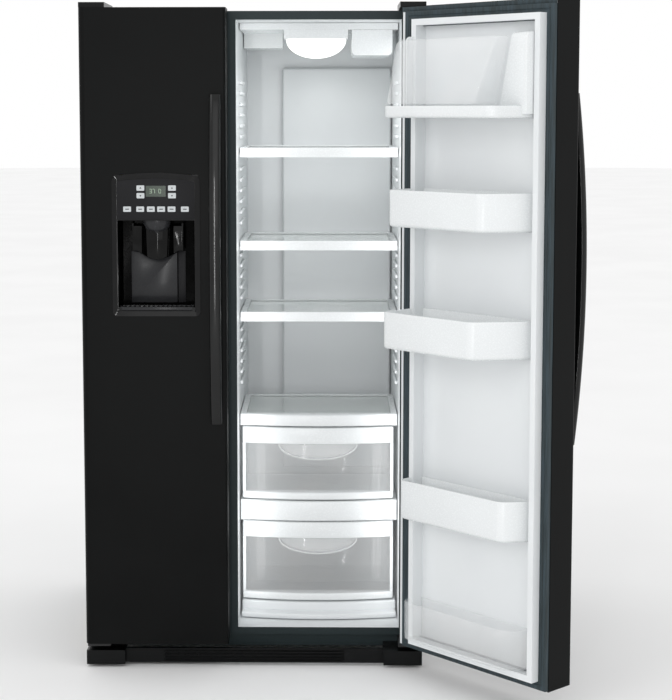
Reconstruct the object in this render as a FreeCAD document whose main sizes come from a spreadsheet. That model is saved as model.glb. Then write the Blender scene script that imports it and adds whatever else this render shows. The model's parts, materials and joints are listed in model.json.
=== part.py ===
import FreeCAD, Part
import math
import os

import Sketcher

# Side by side refrigerator with a water and ice dispenser in its freezer door.
#
# Working frame, in millimetres: X runs to the right across the front, Y runs
# from the front to the back and Z runs up. X = 0 is the middle of the case,
# Y = 0 is the front flange of the case and Z = 0 is the floor. The fridge door
# is drawn closed and its pieces are then turned about the hinge pin to the
# angle of its stop. Last, everything is moved so that the origin is the middle
# of the underside of the whole object's bounding box.

V = FreeCAD.Vector
doc = FreeCAD.newDocument("side_by_side_refrigerator")
sheet = doc.addObject("Spreadsheet::Sheet", "dims")

DIMENSIONS = {
    # case
    "case_width": 908, "case_height": 1766, "case_depth": 735, "case_bottom": 66,
    "sheet_steel": 1.2, "liner_wall": 2, "side_wall": 59.5, "top_wall": 23, "floor_wall": 20,
    "mullion_width": 37, "mullion_middle": -66, "cavity_depth": 650,
    "machine_height": 300, "machine_depth": 225, "machine_wall": 60,
    # doors
    "door_gap": 5, "door_thickness": 88, "door_bottom": 69, "door_above_case": 4.5,
    "seal_space": 12, "door_skin": 1.5, "outer_corner": 16, "inner_corner": 8,
    "pin_inset": 14, "pin_setback": 63, "pin_radius": 6, "pin_clearance": 0.05,
    "pin_depth": 18, "open_angle": 132.8, "gasket_width": 40, "gasket_edge": 1,
    "dike_height": 36.5, "dike_width": 16, "dike_margin": 8,
    # handles
    "handle_width": 30, "handle_low": 673, "handle_top_drop": 225, "handle_reach": 58,
    "handle_gap": 25, "handle_foot": 78, "handle_inset": 13, "handle_end": 14,
    # fresh food compartment
    "shelf_setback": 140, "shelf_depth": 330, "shelf_front_drop": 26, "glass_thickness": 4,
    "shelf_upper_drop": 366, "shelf_middle_drop": 624, "shelf_lower_level": 943,
    "shelf_clearance": 3, "cover_level": 661, "cover_front_drop": 32, "drawer_setback": 112,
    "drawer_clearance": 8, "upper_drawer_top": 625,
    "upper_drawer_bottom": 421, "lower_drawer_top": 358, "lower_drawer_bottom": 134,
    "drawer_wall": 3, "front_thickness": 14, "rail_height": 47, "lip_height": 20,
    "divider_gap": 3, "rib_width": 7, "rib_height": 8,
    # fresh food door
    "bin_wall": 3, "bin_hinge_margin": 10.5, "bin_lift_gap": 1,
    "dairy_bottom_drop": 282, "dairy_top_drop": 84, "dairy_depth": 132, "dairy_top_depth": 87,
    "upper_bin_drop": 559, "upper_bin_height": 95, "upper_bin_depth": 112,
    "middle_bin_bottom": 895, "middle_bin_height": 95, "middle_bin_depth": 130,
    "lower_bin_bottom": 440, "lower_bin_height": 103, "lower_bin_depth": 65,
    "clear_bin_bottom": 113, "clear_bin_height": 104, "clear_bin_depth": 55,
    # freezer compartment
    "coil_space": 95, "wire_shelf_gap": 3, "wire_shelf_setback": 130, "wire_bar": 12,
    "wire_thickness": 7, "wire_shelf_first": 150, "wire_shelf_step": 230,
    "freezer_bin_depth": 105, "freezer_bin_height": 90, "freezer_bin_relief": 24,
    # dispenser
    "bezel_width": 232, "bezel_bottom": 961, "bezel_height": 379, "bezel_corner": 14,
    "bezel_proud": 3, "bezel_centre": -254, "niche_width": 201, "niche_bottom": 975,
    "niche_height": 240, "niche_depth": 68, "panel_height": 109, "paddle_width": 137,
    "paddle_height": 74, "paddle_thickness": 5, "button_width": 20.5, "button_height": 14,
    "button_gap": 0.4, "button_depth": 6, "button_proud": 1.2, "display_width": 53,
    "display_height": 29,
    # base
    "grille_top": 47, "grille_bottom": 8, "grille_front": 66, "cover_front": 86,
    "corner_cover_width": 104, "leg_radius": 6, "leg_foot_radius": 19, "leg_inset": 52,
    "leg_setback": 40, "wheel_radius": 24, "wheel_width": 22, "wheel_inset": 42,
    "wheel_setback": 45, "axle_radius": 5, "running_clearance": 0.06,
    # fans
    "fan_radius": 52, "fan_hub_radius": 16, "fan_blades": 5, "fan_depth": 24,
    "fan_clearance": 4, "fan_shaft_radius": 3, "blade_thickness": 1.6,
    # back panel, ceiling and shelf rims
    "slot_margin": 84, "slot_length": 60, "slot_height": 8, "slot_pitch": 26, "slot_rise": 50,
    "rim_width": 16, "rim_depth": 15, "glass_inset": 10, "glass_sink": 2,
    "ceiling_front": 160, "ceiling_back": 500, "ceiling_thickness": 18,
    "hood_offset": 125, "hood_width": 176, "hood_front": 165, "hood_back": 330, "hood_drop": 42,
    "lens_drop": 52, "lens_half_length": 84, "lens_half_width": 78,
    "damper_width": 112, "damper_front": 400, "damper_drop": 60,
    "filter_margin": 18, "filter_width": 112, "filter_front": 170, "filter_back": 430,
    "filter_drop": 88, "filter_corner": 12,
    # freezer machinery
    "cover_thickness": 4, "fan_drop": 250, "mount_gap": 45, "mount_reach": 70,
    "tube_radius": 5, "tube_pitch": 40, "fin_pitch": 14, "fin_thickness": 1,
    "coil_setback": 70, "coil_rise": 45, "coil_height": 470, "fin_depth": 28,
    "maker_margin": 20, "maker_drop": 200, "maker_height": 90, "maker_wall": 6,
    "maker_front": 170, "maker_back": 420,
    # machine space
    "rail_bottom": 33, "beam_front": 8, "beam_depth": 70, "base_wall": 3,
    "foot_height": 9, "collar_radius": 11, "collar_height": 9,
    "compressor_radius": 80, "compressor_wide": 92, "compressor_inset": 230,
    "compressor_setback": 118, "compressor_middle": 62, "compressor_wall": 86,
    "compressor_dome": 48, "compressor_pot": 40,
    "inlet_radius": 5.55, "inlet_length": 12, "inlet_inset": 60, "inlet_rise": 150,
}


class Size:
    """A length that knows its value and the sheet expression it comes from."""

    def __init__(self, text, value):
        self.text = text
        self.value = float(value)

    def _with(self, other, sign, result, swap=False):
        other = size(other)
        first, second = (other, self) if swap else (self, other)
        return Size(f"({first.text} {sign} {second.text})", result(first.value, second.value))

    def __add__(self, other):
        return self._with(other, "+", lambda a, b: a + b)

    def __radd__(self, other):
        return self._with(other, "+", lambda a, b: a + b, swap=True)

    def __sub__(self, other):
        return self._with(other, "-", lambda a, b: a - b)

    def __rsub__(self, other):
        return self._with(other, "-", lambda a, b: a - b, swap=True)

    def __mul__(self, other):
        return self._with(other, "*", lambda a, b: a * b)

    def __rmul__(self, other):
        return self._with(other, "*", lambda a, b: a * b, swap=True)

    def __truediv__(self, other):
        return self._with(other, "/", lambda a, b: a / b)

    def __neg__(self):
        return Size(f"(0 - {self.text})", -self.value)

    def __float__(self):
        return self.value


def size(thing):
    return thing if isinstance(thing, Size) else Size(f"{thing:.6f}", thing)


def fill_sheet():
    """Writes each driving dimension in its own row and returns them as sizes."""
    for row, (alias, number) in enumerate(DIMENSIONS.items(), start=1):
        sheet.set(f"A{row}", alias)
        sheet.set(f"B{row}", str(number))
        sheet.setAlias(f"B{row}", alias)
    doc.recompute()
    return {alias: Size(f"dims.{alias}", sheet.get(alias)) for alias in DIMENSIONS}


d = fill_sheet()

# Faces that many pieces share.
half_width = d["case_width"] / 2
case_top = d["case_height"]
left_opening = d["side_wall"] - half_width
mullion_left = d["mullion_middle"] - d["mullion_width"] / 2
mullion_right = d["mullion_middle"] + d["mullion_width"] / 2
right_opening = half_width - d["side_wall"]
opening_bottom = d["case_bottom"] + d["floor_wall"]
opening_top = case_top - d["top_wall"]
machine_front = d["case_depth"] - d["machine_depth"]
hump_front = machine_front - d["machine_wall"]
hump_top = d["machine_height"] + d["machine_wall"]
door_back = -d["seal_space"]
door_front = door_back - d["door_thickness"]
door_top = case_top + d["door_above_case"]
fridge_free = d["mullion_middle"] + d["door_gap"] / 2
freezer_free = d["mullion_middle"] - d["door_gap"] / 2
pin_x = half_width - d["pin_inset"]
pin_y = -d["pin_setback"]
dike_back = door_back + d["dike_height"]
dike_low = opening_bottom + d["dike_margin"]
dike_high = opening_top - d["dike_margin"]
bezel_front = door_front - d["bezel_proud"]

# How many there are of each repeated feature.
SLOT_ROWS = 5
SLOT_COLUMNS = 9
WIRE_SHELVES = 4
WIRES = 10
COVER_SLOTS = 4
COIL_TUBES = 12
COIL_FINS = 19
CONDENSER_ROWS = 5
CONDENSER_COLUMNS = 4
CONDENSER_FINS = 13
GRILLE_SLATS = 3

NODES = {}


def keep(name, piece, body="cabinet"):
    """Names a finished sub-part and the body it moves with."""
    piece.Label = name
    NODES[name] = (piece, body)
    return piece


def box(x, y, z):
    """A block between pairs of coordinates, each bound to the sheet."""
    piece = doc.addObject("Part::Box", "block")
    for side, axis, pair in zip(("Length", "Width", "Height"), "xyz", (x, y, z)):
        low, high = size(pair[0]), size(pair[1])
        piece.setExpression(side, (high - low).text)
        piece.setExpression(f"Placement.Base.{axis}", low.text)
    return piece


TURNS = {
    "z": FreeCAD.Rotation(),
    "y": FreeCAD.Rotation(V(1, 0, 0), -90),
    "x": FreeCAD.Rotation(V(0, 1, 0), 90),
}


def seat(piece, axis, place):
    piece.Placement = FreeCAD.Placement(V(), TURNS[axis])
    for name, value in zip("xyz", place):
        piece.setExpression(f"Placement.Base.{name}", size(value).text)
    return piece


def rod(axis, place, radius, length):
    """A cylinder that starts at place and runs along +axis."""
    piece = doc.addObject("Part::Cylinder", "rod")
    piece.setExpression("Radius", size(radius).text)
    piece.setExpression("Height", size(length).text)
    return seat(piece, axis, place)


def cone(axis, place, first_radius, last_radius, length):
    piece = doc.addObject("Part::Cone", "cone")
    piece.setExpression("Radius1", size(first_radius).text)
    piece.setExpression("Radius2", size(last_radius).text)
    piece.setExpression("Height", size(length).text)
    return seat(piece, axis, place)


def fuse(*pieces):
    joined = doc.addObject("Part::MultiFuse", "joined")
    joined.Shapes = list(pieces)
    joined.Refine = True
    return joined


def cut(base, *tools):
    piece = doc.addObject("Part::Cut", "cut")
    piece.Base = base
    piece.Tool = tools[0] if len(tools) == 1 else fuse(*tools)
    piece.Refine = True
    return piece


def group(*pieces):
    together = doc.addObject("Part::Compound", "set")
    together.Links = list(pieces)
    return together


def round_edges(base, radius, test):
    """A fillet of one radius on the edges that pass the test."""
    doc.recompute()
    chosen = [n for n, edge in enumerate(base.Shape.Edges, start=1) if test(edge)]
    if not chosen:
        raise ValueError(f"no edge to round on {base.Label}")
    piece = doc.addObject("Part::Fillet", "rounded")
    piece.Base = base
    piece.Edges = [(n, float(radius), float(radius)) for n in chosen]
    return piece


def runs_along(edge, axis):
    """True for a straight edge along one axis."""
    if edge.Curve.TypeId != "Part::GeomLine":
        return False
    return abs(abs(getattr(edge.tangentAt(edge.FirstParameter), axis)) - 1) < 1e-6


def near(value, place, slack=0.05):
    return abs(value - float(place)) < slack


# ---------------------------------------------------------------- sketches
def new_sketch(body, name, role, offset=0):
    """A sketch on one of the body's own origin planes, moved along its normal."""
    plane = next(f for f in body.Origin.OriginFeatures if f.Role == role)
    sketch = body.newObject("Sketcher::SketchObject", name)
    sketch.AttachmentSupport = [(plane, "")]
    sketch.MapMode = "FlatFace"
    sketch.setExpression("AttachmentOffset.Base.z", size(offset).text)
    return sketch


def pin_point(sketch, curve, point, place):
    """Ties a point of a curve to its two coordinates."""
    for kind, value in zip(("DistanceX", "DistanceY"), place):
        value = size(value)
        mark = sketch.addConstraint(
            Sketcher.Constraint(kind, -1, 1, curve, point, float(value))
        )
        sketch.setExpression(f"Constraints[{mark}]", value.text)


def outline(sketch, points):
    """A closed outline of straight lines through the points."""
    count = len(points)
    spots = [V(float(size(x)), float(size(y)), 0) for x, y in points]
    first = sketch.GeometryCount
    for n in range(count):
        sketch.addGeometry(Part.LineSegment(spots[n], spots[(n + 1) % count]))
    for n in range(count):
        after = first + (n + 1) % count
        sketch.addConstraint(Sketcher.Constraint("Coincident", first + n, 2, after, 1))
        pin_point(sketch, first + n, 1, points[n])


def disc(sketch, centre, radius):
    """A full circle tied to its centre and radius."""
    radius = size(radius)
    middle = V(float(size(centre[0])), float(size(centre[1])), 0)
    curve = sketch.addGeometry(Part.Circle(middle, V(0, 0, 1), float(radius)))
    pin_point(sketch, curve, 3, centre)
    mark = sketch.addConstraint(Sketcher.Constraint("Radius", curve, float(radius)))
    sketch.setExpression(f"Constraints[{mark}]", radius.text)


def pad(body, sketch, length, back=False, midplane=False):
    feature = body.newObject("PartDesign::Pad", "pad")
    feature.Profile = sketch
    feature.Reversed = back
    feature.Midplane = midplane
    feature.setExpression("Length", size(length).text)
    doc.recompute()
    return feature


def pocket(body, sketch, length, back=False):
    """A pocket that is checked to have taken material away."""
    before = body.Tip.Shape.Volume
    feature = body.newObject("PartDesign::Pocket", "pocket")
    feature.Profile = sketch
    feature.Reversed = back
    feature.setExpression("Length", size(length).text)
    doc.recompute()
    if feature.Shape.Volume > before - 1:
        raise ValueError(f"{body.Label}: {sketch.Name} cut nothing")
    return feature


def fillet(body, radius, test):
    """Rounds the edges of the body's last feature that pass the test."""
    base = body.Tip
    names = [f"Edge{n}" for n, e in enumerate(base.Shape.Edges, start=1) if test(e)]
    if not names:
        raise ValueError(f"no edge to round on {body.Label}")
    feature = body.newObject("PartDesign::Fillet", "fillet")
    feature.Base = (base, names)
    feature.setExpression("Radius", size(radius).text)
    doc.recompute()
    return feature


def new_body(name):
    return doc.addObject("PartDesign::Body", name)


# ---------------------------------------------------------------- case
def make_case():
    """Folded steel wrapper, front flange, back, foam and the two liners."""
    skin = d["sheet_steel"]
    flange = cut(
        box((-half_width, half_width), (0, skin), (d["case_bottom"], case_top)),
        box((left_opening, right_opening), (-1, 5), (opening_bottom, opening_top)),
    )
    sides = [
        box((low, low + skin), (0, d["case_depth"]), (d["case_bottom"], case_top))
        for low in (-half_width, half_width - skin)
    ]
    roof = box((-half_width, half_width), (0, d["case_depth"]), (case_top - skin, case_top))
    keep("outer_case", fuse(flange, sides[0], sides[1], roof))

    keep("mullion_cover", group(box(
        (mullion_left, mullion_right), (0, skin), (opening_bottom, opening_top))))

    back = new_body("back_panel")
    edge = half_width - skin
    sheet_outline = new_sketch(back, "sheet", "XZ_Plane", -d["case_depth"])
    outline(sheet_outline, [
        (-edge, d["case_bottom"]), (edge, d["case_bottom"]),
        (edge, case_top - skin), (-edge, case_top - skin)])
    pad(back, sheet_outline, skin)
    slots = new_sketch(back, "air_slots", "XZ_Plane", -d["case_depth"])
    slot_left = d["slot_margin"] - half_width
    slot_right = slot_left + d["slot_length"]
    for row in range(SLOT_ROWS):
        low = d["case_bottom"] + d["slot_rise"] + d["slot_pitch"] * row
        high = low + d["slot_height"]
        outline(slots, [
            (slot_left, low), (slot_right, low), (slot_right, high), (slot_left, high)])
    slot_column = pocket(back, slots, skin + 1, back=True)
    columns = back.newObject("PartDesign::LinearPattern", "slot_columns")
    columns.Originals = [slot_column]
    columns.Direction = (slots, ["H_Axis"])
    columns.Occurrences = SLOT_COLUMNS
    columns.setExpression("Length", (-slot_left - slot_right).text)
    back.Tip = columns
    doc.recompute()
    port = new_sketch(back, "inlet_port", "XZ_Plane", -d["case_depth"])
    disc(port, inlet_place(), d["inlet_radius"] + 2)
    pocket(back, port, skin + 1, back=True)
    if not near(back.Shape.BoundBox.YMax, d["case_depth"], 3):
        raise ValueError("the back panel isn't at the back")
    keep("back_panel", back)

    wall = d["liner_wall"]
    inner = half_width - skin
    foam_back = d["case_depth"] - skin
    block = box((-inner, inner), (skin, foam_back), (d["case_bottom"], case_top - skin))
    spaces = {"fridge": (mullion_right, right_opening), "freezer": (left_opening, mullion_left)}
    tools = []
    for name, (low, high) in spaces.items():
        shell_parts = [
            box((low - wall, high + wall), (skin, d["cavity_depth"] + wall),
                (hump_top - wall, opening_top + wall)),
            box((low - wall, high + wall), (skin, hump_front + wall),
                (opening_bottom - wall, hump_top)),
        ]
        tools += [
            box((low - wall, high + wall), (skin - 1, d["cavity_depth"] + wall),
                (hump_top - wall, opening_top + wall)),
            box((low - wall, high + wall), (skin - 1, hump_front + wall),
                (opening_bottom - wall, hump_top)),
        ]
        hollow = fuse(
            box((low, high), (-1, d["cavity_depth"]), (hump_top, opening_top)),
            box((low, high), (-1, hump_front), (opening_bottom, hump_top + 1)),
        )
        shell = cut(fuse(*shell_parts), hollow)
        if name == "fridge":
            shell = fuse(shell, *shelf_ribs(low, high))
        keep(f"{name}_liner", shell)
    machine = box(
        (-inner - 1, inner + 1), (machine_front, foam_back + 1),
        (d["case_bottom"] - 1, d["machine_height"]))
    keep("foam_insulation", cut(block, machine, *tools))


def shelf_levels():
    """The top of each glass shelf, from the highest down."""
    return {
        "upper": case_top - d["shelf_upper_drop"],
        "middle": case_top - d["shelf_middle_drop"],
        "lower": d["shelf_lower_level"],
    }


def shelf_ribs(low, high):
    """Ledges moulded in the side walls, just under each shelf."""
    ribs = []
    front = d["shelf_setback"] + 18
    back = d["shelf_setback"] + d["shelf_depth"]
    for level in list(shelf_levels().values()) + [d["cover_level"]]:
        top = level - d["rim_depth"] - 1
        span = (top - d["rib_height"], top)
        ribs.append(box((low - 0.5, low + d["rib_width"]), (front, back), span))
        ribs.append(box((high - d["rib_width"], high + 0.5), (front, back), span))
    return ribs


# ---------------------------------------------------------------- interior
def glass_shelf(level, setback, depth, drop):
    """A plastic rim with a deep front edge, and the pane that lies in it."""
    low = mullion_right + d["shelf_clearance"]
    high = right_opening - d["shelf_clearance"]
    width = d["rim_width"]
    inset = d["glass_inset"]
    glass_top = level - d["glass_sink"]
    pane_sides = ((low + inset, high - inset), (setback + inset, setback + depth - inset),
                  (glass_top - d["glass_thickness"], glass_top))
    rim = cut(
        fuse(
            box((low, high), (setback, setback + width), (level - drop, level)),
            box((low, high), (setback, setback + depth), (level - d["rim_depth"], level)),
        ),
        box((low + width, high - width), (setback + width, setback + depth - width),
            (level - d["rim_depth"] - 1, level + 1)),
        box(*pane_sides),
    )
    return rim, box(*pane_sides)


def make_shelves():
    rims, panes = [], []
    for level in shelf_levels().values():
        rim, pane = glass_shelf(level, d["shelf_setback"], d["shelf_depth"],
                                d["shelf_front_drop"])
        rims.append(rim)
        panes.append(pane)
    cover_depth = hump_front - d["drawer_setback"] - 6
    rim, pane = glass_shelf(d["cover_level"], d["drawer_setback"], cover_depth,
                            d["cover_front_drop"])
    keep("shelf_frames", group(*rims, rim))
    keep("shelf_glass", group(*panes, pane))
    low = mullion_right + d["shelf_clearance"]
    high = right_opening - d["shelf_clearance"]
    keep("drawer_divider", fuse(
        box((low, high), (d["drawer_setback"], hump_front - 6),
            (d["upper_drawer_bottom"] - d["divider_gap"] - 12,
             d["upper_drawer_bottom"] - d["divider_gap"])),
        box((low, high), (d["drawer_setback"], d["drawer_setback"] + 14),
            (d["lower_drawer_top"] + d["divider_gap"],
             d["upper_drawer_bottom"] - d["divider_gap"])),
    ))


def drawer(name, bottom, top):
    """A clear tub with a thicker front that carries a rail and a lip."""
    low = mullion_right + d["drawer_clearance"]
    high = right_opening - d["drawer_clearance"] - 4
    front = d["drawer_setback"]
    wall = d["drawer_wall"]
    depth = hump_front - d["drawer_clearance"] - d["drawer_setback"]
    body = new_body(name)
    plan = new_sketch(body, "tub_plan", "XY_Plane", bottom)
    outline(plan, [(low, front), (high, front), (high, front + depth), (low, front + depth)])
    pad(body, plan, top - bottom)
    fillet(body, 10, lambda e: runs_along(e, "z"))
    inside = new_sketch(body, "tub_hollow", "XY_Plane", top)
    first = front + d["front_thickness"]
    outline(inside, [
        (low + wall, first), (high - wall, first),
        (high - wall, front + depth - wall), (low + wall, front + depth - wall)])
    pocket(body, inside, top - bottom - wall)
    grip = new_sketch(body, "grip_recess", "XZ_Plane", -front)
    middle = (low + high) / 2
    outline(grip, [
        (middle - 105, top - d["rail_height"] - 8), (middle + 105, top - d["rail_height"] - 8),
        (middle + 70, top - d["rail_height"] - 46), (middle - 70, top - d["rail_height"] - 46)])
    pocket(body, grip, 9)
    keep(name, body, name)


def make_ceiling():
    """Moulded ceiling housing with its lamp hood and air damper box."""
    low = mullion_right + 3
    high = right_opening - 3
    top = opening_top - 1
    hood_left = mullion_right + d["hood_offset"]
    hood_right = hood_left + d["hood_width"]
    hood_bottom = top - d["hood_drop"]
    inside_plate = top - 10
    plate = box((low, high), (d["ceiling_front"], d["ceiling_back"]),
                (top - d["ceiling_thickness"], top))
    hood = box((hood_left, hood_right), (d["hood_front"], d["hood_back"]),
               (hood_bottom, inside_plate))
    damper = box((low, low + d["damper_width"]), (d["damper_front"], d["ceiling_back"]),
                 (top - d["damper_drop"], inside_plate))
    keep("ceiling_housing", fuse(plate, hood, damper))
    lens = doc.addObject("Part::Ellipsoid", "lens_bowl")
    for side, name in enumerate(("lens_drop", "lens_half_length", "lens_half_width"), start=1):
        lens.setExpression(f"Radius{side}", d[name].text)
    gap = 0.5
    middle_y = (d["hood_front"] + d["hood_back"]) / 2
    seat(lens, "z", ((hood_left + hood_right) / 2, middle_y, hood_bottom - gap))
    keep("lamp_lens", cut(
        lens,
        box((hood_left - 9, hood_right + 9), (d["hood_front"] - 15, d["hood_back"] + 15),
            (hood_bottom - gap, top + d["lens_drop"]))))
    filter_high = right_opening - d["filter_margin"]
    keep("water_filter_cover", round_edges(
        box((filter_high - d["filter_width"], filter_high), (d["filter_front"], d["filter_back"]),
            (top - d["filter_drop"], top - d["ceiling_thickness"] - gap)), d["filter_corner"],
        lambda e: runs_along(e, "y") and e.CenterOfMass.z < float(top) - 40))


# ---------------------------------------------------------------- freezer
def make_freezer():
    low = left_opening + d["wire_shelf_gap"]
    high = mullion_left - d["wire_shelf_gap"]
    cover_front = d["cavity_depth"] - d["coil_space"]
    bar = d["wire_bar"]
    wire = d["wire_thickness"]
    front_bar = d["wire_shelf_setback"]
    back_bar = cover_front - bar * 2.5
    pitch = (high - low - wire) / (WIRES - 1)
    shelves = []
    for shelf in range(WIRE_SHELVES):
        level = hump_top + d["wire_shelf_first"] + d["wire_shelf_step"] * shelf
        shelves.append(fuse(
            box((low, high), (front_bar, front_bar + bar), (level - bar, level)),
            box((low, high), (back_bar, back_bar + bar), (level - bar, level)),
            *[box((low + pitch * n, low + pitch * n + wire),
                  (front_bar + bar / 2, back_bar + bar / 2), (level - wire - 2, level - 2))
              for n in range(WIRES)],
        ))
    keep("freezer_shelves", group(*shelves))
    fan_x = (low + high) / 2
    fan_z = opening_top - d["fan_drop"]
    cover_back = cover_front + d["cover_thickness"]
    plate = box((low, high), (cover_front, cover_back), (hump_top + 2, opening_top - 2))
    opening = rod("y", (fan_x, cover_front - 1, fan_z), d["fan_radius"] + d["fan_clearance"],
                  d["cover_thickness"] + 2)
    slots = [box((fan_x - 90, fan_x + 90), (cover_front - 1, cover_back + 1),
                 (hump_top + 40 + 22 * n, hump_top + 48 + 22 * n)) for n in range(COVER_SLOTS)]
    mount_front = cover_front + d["mount_gap"]
    mount_back = mount_front + d["cover_thickness"]
    reach = d["mount_reach"]
    strap = (fan_z - 8, fan_z + 8)
    mount = box((fan_x - reach, fan_x + reach), (mount_front, mount_back), strap)
    legs = [box((fan_x + side * (reach - 4) - 4, fan_x + side * (reach - 4) + 4),
                (cover_front + 2, mount_back), strap) for side in (-1, 1)]
    shaft_front = cover_front + 12
    shaft = rod("y", (fan_x, shaft_front, fan_z), d["fan_shaft_radius"],
                mount_back - 1 - shaft_front)
    keep("evaporator_cover", fuse(cut(plate, opening, *slots), mount, *legs, shaft))
    make_fan("evaporator_fan", "y", (fan_x, cover_front + 8, fan_z))
    coil_y = cover_front + d["coil_setback"]
    coil_low = hump_top + d["coil_rise"]
    tubes = [rod("x", (low + 14, coil_y, coil_low + 15 + d["tube_pitch"] * n),
                 d["tube_radius"], high - low - 28) for n in range(COIL_TUBES)]
    fin_x = [low + 20 + d["fin_pitch"] * n for n in range(COIL_FINS)]
    fins = [box((x, x + d["fin_thickness"]),
                (coil_y - d["fin_depth"] / 2, coil_y + d["fin_depth"] / 2),
                (coil_low, coil_low + d["coil_height"])) for x in fin_x]
    keep("evaporator_coil", fuse(*tubes, *fins))
    maker_low = opening_top - d["maker_drop"]
    maker_top = maker_low + d["maker_height"]
    left, right = low + d["maker_margin"], high - d["maker_margin"]
    front, back = d["maker_front"], d["maker_back"]
    wall = d["maker_wall"]
    trough = cut(
        box((left, right), (front, back), (maker_low, maker_top)),
        box((left + wall, right - 40), (front + wall, back - wall),
            (maker_low + wall, maker_top + 1)),
    )
    keep("ice_maker", fuse(
        trough, box((left, right), (front + 10, back - 10), (maker_top - 2, opening_top - 1))))


def inlet_place():
    """Where the water inlet leaves the back panel, in X and Z."""
    return half_width - d["inlet_inset"], d["case_bottom"] + d["inlet_rise"]


def make_fan(name, axis, centre):
    """A hub with twisted blades, turning on its motor shaft."""
    hub_radius = float(d["fan_hub_radius"])
    tip_radius = float(d["fan_radius"])
    depth = float(d["fan_depth"])
    blade = float(d["blade_thickness"])
    hub = Part.makeCylinder(hub_radius, depth)
    blades = []
    for n in range(int(float(d["fan_blades"]))):
        sweep = 360 / float(d["fan_blades"])
        root = Part.makeBox(tip_radius - hub_radius + 4, blade, depth * 1.15,
                            V(hub_radius - 4, -blade / 2, -depth * 0.075))
        root.rotate(V(0, 0, depth / 2), V(1, 0, 0), 50)
        root.rotate(V(), V(0, 0, 1), sweep * n)
        blades.append(root)
    shape = hub.multiFuse(blades)
    shape = shape.common(Part.makeCylinder(tip_radius, depth))
    bore_radius = float(d["fan_shaft_radius"] + d["running_clearance"])
    bore = Part.makeCylinder(bore_radius, depth + 2, V(0, 0, -1))
    shape = shape.cut(bore).removeSplitter()
    turned = FreeCAD.Placement(V(*[float(size(c)) for c in centre]), TURNS[axis])
    fan = doc.addObject("Part::Feature", name)
    fan.Shape = shape.transformed(turned.toMatrix(), True)
    keep(name, fan, name)


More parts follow.
